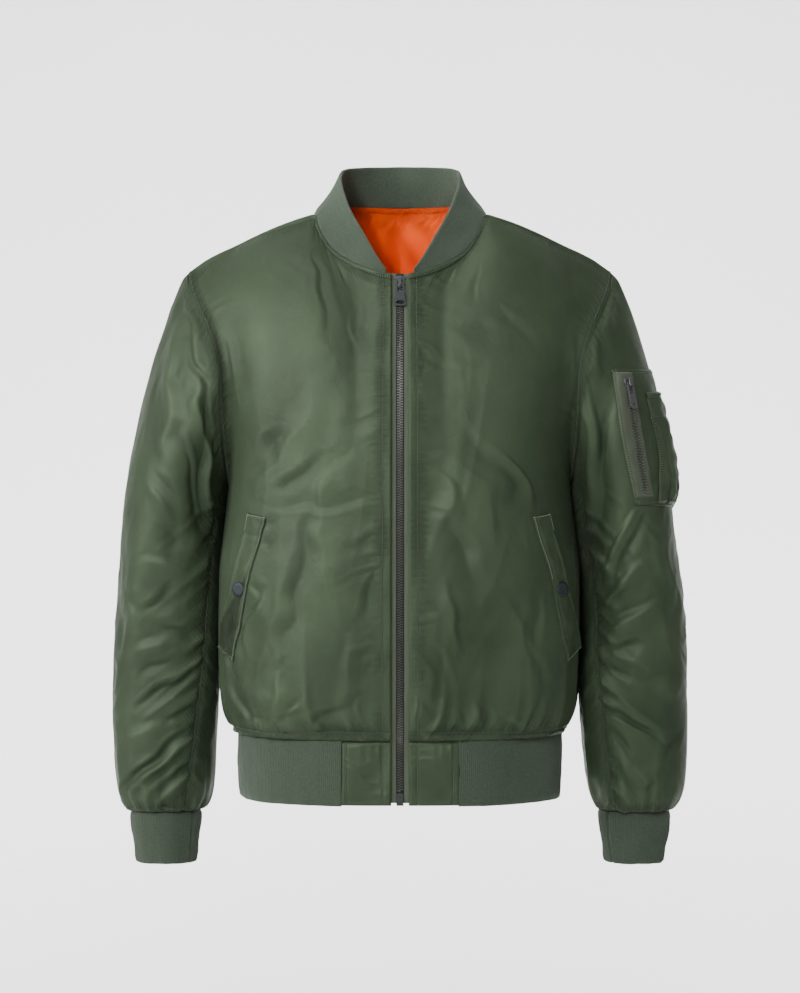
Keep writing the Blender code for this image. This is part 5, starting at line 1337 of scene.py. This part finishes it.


# Much darker satin for the open mouth of the right pocket: painted shade inside the pocket.
POCKET_MOUTH_SHADE = satin_nylon("pocket_bag_nylon", (0.012, 0.018, 0.009), (0.026, 0.038, 0.020),
                         (0.60, 0.75), 0.15, 0.0)
SNAP_METAL = dark_metal("dark_snap_metal", (0.020, 0.026, 0.028), (0.060, 0.072, 0.078), (0.46, 0.62))
welt_cloths = {}
for side, way, seed in (("left", 1.0, 240), ("right", -1.0, 250)):
    under = cloth_tree(front_cloths[side])
    cloth = laid_on(under, (0.0, 0.0), POCKET_WELT, 110, 18, way)
    edges = edge_distances(cloth)
    near = np.min(edges, axis=0)
    lift = 0.0003 + 0.0021 * (1 - bell(near, 0.0014))
    lift += groove(abs(edges[1] - WELT_SEAM), WELT_SEAM_GROOVE)
    lift += groove(abs(edges[2] - WELT_CROSS), WELT_CROSS_GROOVE)
    lift += pucker(cloth.rise, abs(edges[1] - WELT_SEAM), WELT_PUCKER, seed)
    free = 1 - bell(edges[2], WELT_CROSS, 6)
    lift += 0.0016 * free * bell(edges[0] - 0.0012, 0.0026)
    if side == "right":
        closing = 0.30 * (MOUTH_TOP + 0.0160 - edges[2]).clip(0, None)
        mouth = np.minimum(edges[0] - 0.0030 - closing, edges[1] - 0.0052) / 0.0010
        mouth = np.minimum(mouth, (edges[3] - 0.0040) / 0.0010)
        mouth = step_up(mouth.clip(-20, 20), 1.0)
        lift -= PATCH_WALL * mouth
        lift += 0.0014 * bell(edges[3] - 0.0024, 0.0016)
    lift += 0.0006 * ripple(cloth.grid, 0.022, seed + 1) * (1 - bell(near, 0.004))
    welt_cloths[side] = raised(cloth, lift, (0.0, 0.0, cloth.grid[..., 2].mean()))
    # The welt's height goes in as lift: painted shade on its low parts and painted light on its raised edges.
    welt = sewn_shell("pocket_welt_fold_" + side, welt_cloths[side], PATCH_WALL, OLIVE, OLIVE,
                      (lift / PATCH_SHADE - 1.0).clip(-1, 1))
    if side == "right":
        # Faces in the open mouth take the darker satin, painted shade inside the pocket.
        inside = (mouth[:-1, :-1] + mouth[1:, 1:] > 1.0).ravel()
        welt.data.materials.append(POCKET_MOUTH_SHADE)
        for quad in np.flatnonzero(inside):
            welt.data.polygons[int(quad)].material_index = len(welt.data.materials) - 1
    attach(welt, "jacket")
    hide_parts("pocket_welt_" + side)
    spot, out = seat(cloth_tree(welt_cloths[side]), (0.0, 0.0), SNAP_ANGLE, SNAP_HEIGHT, way)
    look = math.radians(SNAP_ANGLE)
    out = out + np.array([way * math.cos(look), -math.sin(look) - SNAP_FORWARD, 0.0])
    spot = spot + 0.0007 * out / np.linalg.norm(out)
    turn = np.array(quaternion_of(np.array([[0.0, 0.0, 1.0]]), out[None])[0].to_matrix())
    angles = turns(SNAP_SIDES)
    rings = [np.stack([r * np.cos(angles), np.full(SNAP_SIDES, -h - 0.0002), r * np.sin(angles)], axis=1)
             for r, h in SNAP_PROFILE]
    points = np.concatenate(rings) @ turn.T + spot
    faces = grid_quads(len(rings), SNAP_SIDES, True).tolist()
    faces += [list(range(SNAP_SIDES))[::-1], list(range(len(points) - SNAP_SIDES, len(points)))]
    snap = finish_mesh("snap_cap_" + side, points, faces, points[:, [0, 2]], [SNAP_METAL], [0] * len(faces))
    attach(snap, "jacket")
    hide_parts("snap_" + side)

# SLEEVE POCKET
# A flat utility pocket on the left upper sleeve: a nylon patch with a slanted zip, and a pleated
# pen pocket beside it under a bound edge.

ARM_AXIS = (0.240, 0.005)
SLEEVE_POCKET = [
    Strip(103.1, -0.1690, 20.0, -0.1655), Strip(98.9, -0.2050, 14.0, -0.2050),
    Strip(94.4, -0.2540, 8.0, -0.2560), Strip(84.6, -0.3125, 8.0, -0.3150),
]
SLEEVE_ZIP = [
    Strip(101.6, -0.1725, 85.6, -0.1720), Strip(97.5, -0.2100, 81.5, -0.2095),
    Strip(94.7, -0.2400, 77.6, -0.2395), Strip(90.7, -0.2700, 73.6, -0.2695),
    Strip(85.1, -0.3040, 68.2, -0.3035),
]
SLEEVE_TEETH = [
    Strip(90.3, -0.1935, 87.9, -0.1935), Strip(89.1, -0.2100, 86.5, -0.2100),
    Strip(85.6, -0.2400, 83.0, -0.2400), Strip(82.0, -0.2700, 79.4, -0.2700),
    Strip(77.4, -0.2990, 74.8, -0.2990),
]
PEN_POCKET = [
    Strip(70.0, -0.1930, 22.0, -0.1905), Strip(66.0, -0.2180, 17.0, -0.2180),
    Strip(59.0, -0.2560, 12.0, -0.2560), Strip(62.0, -0.2880, 12.0, -0.2880),
    Strip(64.0, -0.3100, 16.0, -0.3120),
]
PATCH_STITCH, SLEEVE_TOOTH_PITCH = 0.0045, 0.0030
PATCH_PUCKER, PATCH_GROOVE = Pucker(0.0120, 0.0007, 0.0080), Groove(0.0005, 0.0011)
PEN_BULGE, BINDING_STITCH, PEN_HEM_STITCH = 0.0085, 0.0062, 0.0270
PEN_PUCKER, BINDING_GROOVE = Pucker(0.0110, 0.0016, 0.0160), Groove(0.0006, 0.0009)
Pleat = namedtuple("Pleat", "place lean width depth")
PEN_PLEATS = (Pleat(0.27, 0.20, 0.045, 0.0078), Pleat(0.50, 0.05, 0.040, 0.0024),
              Pleat(0.70, -0.05, 0.045, 0.0020))
arm_point = (ARM_AXIS[0], ARM_AXIS[1], -0.24)

cloth = laid_on(cloth_tree(sleeve_cloths["left"]), ARM_AXIS, SLEEVE_POCKET, 110, 70, 1.0)
near = np.min(edge_distances(cloth), axis=0)
lift = 0.0004 + 0.0018 * (1 - bell(near, 0.0016)) + groove(abs(near - PATCH_STITCH), PATCH_GROOVE)
lift += pucker(cloth.rise + cloth.run, abs(near - PATCH_STITCH), PATCH_PUCKER, 260)
lift += 0.0006 * ripple(cloth.grid, 0.030, 261) * (1 - bell(near, 0.005))
patch_cloth = raised(cloth, lift, arm_point)
# The patch's height goes in as lift: painted shade on its low parts and painted light on its raised edges.
patch = sewn_shell("sleeve_pocket_patch", patch_cloth, PATCH_WALL, OLIVE, OLIVE,
                   (lift / PATCH_SHADE - 1.0).clip(-1, 1))
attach(patch, "jacket")
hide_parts("sleeve_pocket")

patch_tree = cloth_tree(patch_cloth)
cloth = laid_on(patch_tree, ARM_AXIS, SLEEVE_ZIP, 110, 10, 1.0)
near = np.min(edge_distances(cloth), axis=0)
lift = 0.0004 + 0.0008 * (1 - bell(near, 0.0008))
tape_cloth = raised(cloth, lift, arm_point)
sleeve_tape = sewn_shell("sleeve_zip_tape_woven", tape_cloth, 0.0008, TAPE, TAPE)
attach(sleeve_tape, "jacket")
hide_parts("sleeve_zip_tape")

chain = laid_on(cloth_tree(tape_cloth), ARM_AXIS, SLEEVE_TEETH, 300, 2, 1.0)
middle, outs = chain.grid[:, 1] + chain.out[:, 1] * 0.0009, chain.out[:, 1]
travel = run_along(middle)
COIL_METAL = dark_metal("bright_zip_coil", (0.120, 0.125, 0.115), (0.420, 0.430, 0.400), (0.28, 0.42))
PULL_METAL = dark_metal("handled_pull_metal", (0.075, 0.078, 0.082), (0.240, 0.246, 0.252), (0.32, 0.48))
tooth_travel = np.arange(0.0, travel[-1], SLEEVE_TOOTH_PITCH / 2)
spots = points_at(tooth_travel, travel, middle)
along = np.gradient(spots, axis=0)
tooth_out = points_at(tooth_travel, travel, outs)
across = np.cross(along, tooth_out) * np.where(np.arange(len(spots)) % 2, 1.0, -1.0)[:, None]
sleeve_teeth = set_pieces("sleeve_zip_teeth", spots, quaternion_of(across, tooth_out), tooth,
                          (0.90, 0.70, 0.80), 0.02, 6, COIL_METAL)
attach(sleeve_teeth, "jacket")
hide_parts("sleeve_zip_chain")
bpy.data.objects.remove(tooth, do_unlink=True)
finer_metal("sleeve_slider_casting", "sleeve_zip_slider", "jacket", 0.0004, SLIDER_METAL)
finer_metal("sleeve_pull_tab_casting", "sleeve_zip_pull", "sleeve_pull_tab", 0.0003, PULL_METAL)

cloth = laid_on(patch_tree, ARM_AXIS, PEN_POCKET, 100, 60, 1.0)
edges = edge_distances(cloth)
near = np.min(edges, axis=0)
down = cloth.rise / cloth.rise[-1:]
side_share = cloth.run / cloth.run[:, -1:]
swell = (0.35 + 0.9 * down) * (1 - down**8) * np.sin(math.pi * side_share)
lift = 0.0005 + 0.0020 * (1 - bell(near, 0.0016)) + PEN_BULGE * swell
binding = bell(edges[2] - 0.0030, 0.0026, 4)
lift += 0.0012 * binding
lift += groove(abs(edges[2] - BINDING_STITCH), BINDING_GROOVE)
for pleat in PEN_PLEATS:
    lift -= pleat.depth * bell(side_share - pleat.place - pleat.lean * (down - 0.75), pleat.width) * down**4
lift += groove(abs(edges[2] - PEN_HEM_STITCH), EDGE_GROOVE)
lift += pucker(cloth.run, edges[3], PEN_PUCKER, 270)
lift += 0.0008 * ripple(cloth.grid, 0.020, 271) * (1 - bell(near, 0.004))
pen_cloth = raised(cloth, lift, arm_point)
# The pouch's height goes in as lift: painted shade in its pleats and painted light on its bulge.
pen = sewn_shell("pen_pocket_pouch", pen_cloth, PATCH_WALL, OLIVE, OLIVE, (lift / 0.012).clip(-1, 1))
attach(pen, "jacket")
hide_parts("pen_pocket")

# SEWING
# Visible stitch rows in matt thread, nearly four to the centimetre: beside the zip, along neck,
# armholes, hem, inseams and cuffs, on the band ends, the welts, the sleeve pocket and the lining.

STITCH_PITCH, TACK_PITCH, THREAD_WIDTH = 0.0027, 0.0012, 0.0010
ARMHOLE_STITCH, NECK_STITCH, CUFF_STITCHES, NECK_CORNER = 0.0050, 0.0060, (0.0042, 0.0072), 0.0905
WELT_OUTER_STITCH, WELT_INNER_STITCH, LEFT_WELT_STITCHED = 0.0022, 0.0016, 0.070
TACK_TOP, TACK_FOOT = 0.0014, 0.0016
PEN_SIDE_STITCH, PEN_FOOT_STITCH, SLEEVE_TAPE_STITCH = 0.0020, 0.0040, 0.0016
FIRST_CELL, LAST_CELL, FIRST_ROW, LAST_ROW = range(4)
# The thread of a stitch and the wider strip below it, coloured as painted shade of the dent that the stitch
# pulls, in shares of its length and width.
Bead = namedtuple("Bead", "reach tip width low high dent")
STITCH_BEADS = (Bead(0.22, 0.33, 0.55, -0.55, 0.30, 0.0), Bead(0.50, 0.54, 0.70, -0.10, 0.60, 1.0))


def thread(name, dent_shadow_colour, dark, light):
    """Matt twisted thread, slightly uneven in colour, over a strip of painted shade where the dent that it
    pulls lies.
    """
    material, tree = new_finish(name, Roughness=0.75, Sheen_Weight=0.15, Specular_IOR_Level=0.3)
    place = add_node(tree, "TexCoord", give="Object")
    twist = add_node(tree, "TexNoise", {"Vector": place, "Scale": 1500.0, "Detail": 2.0})
    dent = add_node(tree, "Attribute", give="Fac", attribute_name="dent")
    return finished(material, Base_Color=mixed(tree, dent, mixed(tree, twist, dark, light), dent_shadow_colour))


# The first colour of each thread is the painted shade of the dent under its stitches.
OLIVE_THREAD = thread("olive_thread", (0.002, 0.003, 0.002), (0.080, 0.106, 0.066),
                      (0.150, 0.184, 0.124))
WELT_THREAD = thread("light_olive_thread", (0.016, 0.024, 0.012), (0.180, 0.215, 0.150),
                     (0.300, 0.340, 0.250))
ORANGE_THREAD = thread("orange_thread", (0.180, 0.016, 0.002), (0.500, 0.060, 0.008),
                       (0.800, 0.160, 0.030))
points, faces, dent_shades = [], [], []
for bead in STITCH_BEADS:
    first = len(points)
    points += [(x, y, z) for x in (-bead.reach, bead.reach)
               for y, z in ((bead.low, 0.0), (0.1, bead.width), (bead.high, 0.0), (0.1, -bead.width))]
    points += [(-bead.tip, 0.1, 0.0), (bead.tip, 0.1, 0.0)]
    faces += [[first + i for i in face] for face in grid_quads(2, 4, True).tolist()]
    faces += [[first + 8, first + i, first + (i + 1) % 4] for i in range(4)]
    faces += [[first + 9, first + 4 + (i + 1) % 4, first + 4 + i] for i in range(4)]
    dent_shades += [bead.dent] * 10
stitch = small_piece("stitch", points, faces, dent_shades)


def seam_line(cloth, edge, distance, keep=slice(None)):
    """Line on a cloth at a distance from one of its edges, and the ways out along it."""
    sides = cloth.grid, cloth.out, edge_distances(cloth)[edge]
    if edge in (FIRST_ROW, LAST_ROW):
        sides = [values.swapaxes(0, 1) for values in sides]
    line, ways = [], []
    for points, outs, far in list(zip(*sides))[keep]:
        order = np.argsort(far)
        for found, values in ((line, points), (ways, outs)):
            found.append([np.interp(distance, far[order], values[order, i]) for i in range(3)])
    return np.array(line), np.array(ways)


def seam_lines(cloth, *seams):
    return [seam_line(cloth, *seam) for seam in seams]


def nearest(values, wanted):
    return int(np.argmin(abs(values - wanted)))


def sew(name, lines, seed, finish=None, pitch=STITCH_PITCH):
    """Stitches one after another along each line, as one mesh that rides with the cloth."""
    spots, facings = [], []
    for line, ways in lines:
        travel = run_along(line)
        if travel[-1] < 2 * pitch:
            continue
        marks = np.arange(pitch / 2, travel[-1], pitch)
        spot = points_at(marks, travel, line)
        out = points_at(marks, travel, ways)
        spots.append(spot + out * 0.00012)
        facings += quaternion_of(np.gradient(spot, axis=0), out)
    row = set_pieces(name, np.concatenate(spots), facings, stitch, (pitch, THREAD_WIDTH, THREAD_WIDTH), 0.05,
                     seed, finish or OLIVE_THREAD)
    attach(row, "jacket")
    return row


for side, seed in (("left", 300), ("right", 310)):
    cloth = front_cloths[side]
    arm_rows = slice(nearest(cloth.grid[:, 0, 2], ARMPIT_HEIGHT), None)
    neck_cells = slice(nearest(abs(cloth.grid[-1, :, 0]), NECK_CORNER), None)
    sew("stitches_front_" + side, seam_lines(
        cloth, (LAST_CELL, PLACKET_STITCH), (FIRST_ROW, CASING_HEIGHT),
        (FIRST_CELL, ARMHOLE_STITCH, arm_rows), (LAST_ROW, NECK_STITCH, neck_cells)), seed)
    sew("stitches_band_" + side, seam_lines(
        band_end_cloths[side], (FIRST_CELL, PLACKET_STITCH), (LAST_CELL, BAND_END_STITCH)), seed + 1)
    cloth = welt_cloths[side]
    outer_rows = slice(nearest(cloth.rise[:, 0], WELT_CROSS))
    inner_rows = slice(nearest(cloth.rise[:, 0], LEFT_WELT_STITCHED) if side == "left" else None)
    sew("stitches_welt_" + side, seam_lines(
        cloth, (FIRST_CELL, WELT_OUTER_STITCH, outer_rows), (LAST_CELL, WELT_INNER_STITCH, inner_rows)),
        seed + 2, WELT_THREAD)
    tacks = ((FIRST_ROW, TACK_TOP), (LAST_ROW, TACK_FOOT))[:2 if side == "left" else 1]
    sew("bar_tacks_" + side, seam_lines(cloth, *tacks), seed + 3, WELT_THREAD, TACK_PITCH)
    cloth = sleeve_cloths[side]
    rounds = [seam_line(cloth, LAST_ROW, distance) for distance in CUFF_STITCHES]
    sew("stitches_cuff_" + side, [tuple(np.concatenate([part, part[:1]]) for part in one) for one in rounds],
        seed + 4)
    low = inseam_places[side].astype(int)
    share = (inseam_places[side] - low)[:, None]
    rows = np.arange(len(low))
    sew("stitches_inseam_" + side, [tuple(
        ((1 - share) * values[rows, low] + share * values[rows, low + 1])[len(low) // 2:]
        for values in (cloth.grid, cloth.out))], seed + 5)

arm_rows = slice(nearest(back_cloth.grid[:, 0, 2], ARMPIT_HEIGHT), None)
shoulder = int(SHOULDER_CELLS / (2 * HALF_CELLS) * back_cloth.grid.shape[1])
sew("stitches_back", seam_lines(
    back_cloth, (FIRST_ROW, CASING_HEIGHT), (FIRST_CELL, ARMHOLE_STITCH, arm_rows),
    (LAST_CELL, ARMHOLE_STITCH, arm_rows), (LAST_ROW, NECK_STITCH, slice(shoulder, -shoulder))), 330)
sew("stitches_sleeve_pocket", [
    *seam_lines(patch_cloth, *((edge, PATCH_STITCH) for edge in range(4))),
    *seam_lines(pen_cloth, (FIRST_ROW, BINDING_STITCH), (FIRST_CELL, PEN_SIDE_STITCH),
                (LAST_ROW, PEN_FOOT_STITCH), (FIRST_ROW, PEN_HEM_STITCH)),
    *seam_lines(tape_cloth, (FIRST_CELL, SLEEVE_TAPE_STITCH), (LAST_CELL, SLEEVE_TAPE_STITCH))], 340)
sew("stitches_lining", seam_lines(neck_lining_cloth, (LAST_ROW, LINING_STITCH)), 350, ORANGE_THREAD)
bpy.data.objects.remove(stitch, do_unlink=True)

# STAGE
# A pale floor that curves up into a wall, soft studio lamps with the key from the left, one small
# lamp into the neck, and the camera level with the middle of the jacket.

sweep = [(-6.0, -1.60), (2.6, -1.60), (3.3, -1.50), (3.8, -1.15), (4.0, -0.60), (4.0, 5.0)]
line = curve_through([(0.0, y, z) for y, z in sweep], 48)
points = [(x, y, z) for x in (-9.0, 9.0) for _, y, z in line]
faces = [(i, i + 1, i + 1 + len(line), i + len(line)) for i in range(len(line) - 1)]
mesh = bpy.data.meshes.new("studio_floor")
mesh.from_pydata(points, [], faces)
mesh.shade_smooth()
pale, tree = new_finish("pale_floor", Roughness=0.95, Specular_IOR_Level=0.1)
place = add_node(tree, "TexCoord", give="Object")
grain = add_node(tree, "TexNoise", {"Vector": place, "Scale": 2.0, "Detail": 2.0})
finished(pale, Base_Color=mixed(tree, grain, (0.80, 0.80, 0.80), (0.83, 0.83, 0.83)))
mesh.materials.append(pale)
floor = new_object("studio_floor", mesh)

world = bpy.data.worlds.new("studio")
bpy.context.scene.world = world
world.use_nodes = True
world.node_tree.nodes["Background"].inputs["Color"].default_value = (1.0, 1.0, 1.0, 1.0)
world.node_tree.nodes["Background"].inputs["Strength"].default_value = 0.27

Lamp = namedtuple("Lamp", "name place aim size power")
for lamp in (Lamp("key_left", (-2.8, -1.6, 0.7), (0.0, 0.0, -0.30), 1.8, 90.0),
             Lamp("front_soft", (-0.9, -2.9, 1.0), (0.0, 0.0, -0.15), 0.9, 57.0),
             Lamp("fill_right", (2.6, -2.2, 0.2), (0.0, 0.0, -0.35), 2.2, 14.0),
             Lamp("top_soft", (-0.7, -0.5, 2.1), (0.0, 0.0, -0.05), 1.4, 20.0),
             Lamp("wall_high_left", (-1.4, 1.5, 0.9), (-1.4, 4.0, 0.9), 1.0, 97.0),
             Lamp("wall_high_right", (1.4, 1.5, 0.9), (1.4, 4.0, 0.9), 1.0, 97.0),
             Lamp("wall_low_left", (-1.4, 1.5, -1.1), (-1.4, 4.0, -1.1), 0.8, 97.0),
             Lamp("wall_low_right", (1.4, 1.5, -1.1), (1.4, 4.0, -1.1), 0.8, 97.0)):
    light = bpy.data.lights.new(lamp.name, "AREA")
    light.shape, light.size, light.energy = "DISK", lamp.size, lamp.power
    obj = new_object(lamp.name, light)
    obj.location = lamp.place
    obj.rotation_euler = (Vector(lamp.aim) - Vector(lamp.place)).to_track_quat("-Z", "Y").to_euler()

light = bpy.data.lights.new("neck_soft", "SPOT")
light.energy, light.spot_size, light.spot_blend, light.shadow_soft_size = 88.0, math.radians(5.2), 0.8, 0.05
obj = new_object("neck_soft", light)
obj.location = (-0.45, -0.96, 0.62)
obj.rotation_euler = (Vector((0.026, 0.080, -0.026)) - obj.location).to_track_quat("-Z", "Y").to_euler()

view = bpy.data.cameras.new("front_view")
view.sensor_fit, view.sensor_height, view.lens = "VERTICAL", 24.0, 62.66
camera = new_object("front_view", view)
camera.location, camera.rotation_euler = (0.0, -2.8, -0.303), (math.radians(90), 0.0, 0.0)
bpy.context.scene.camera = camera
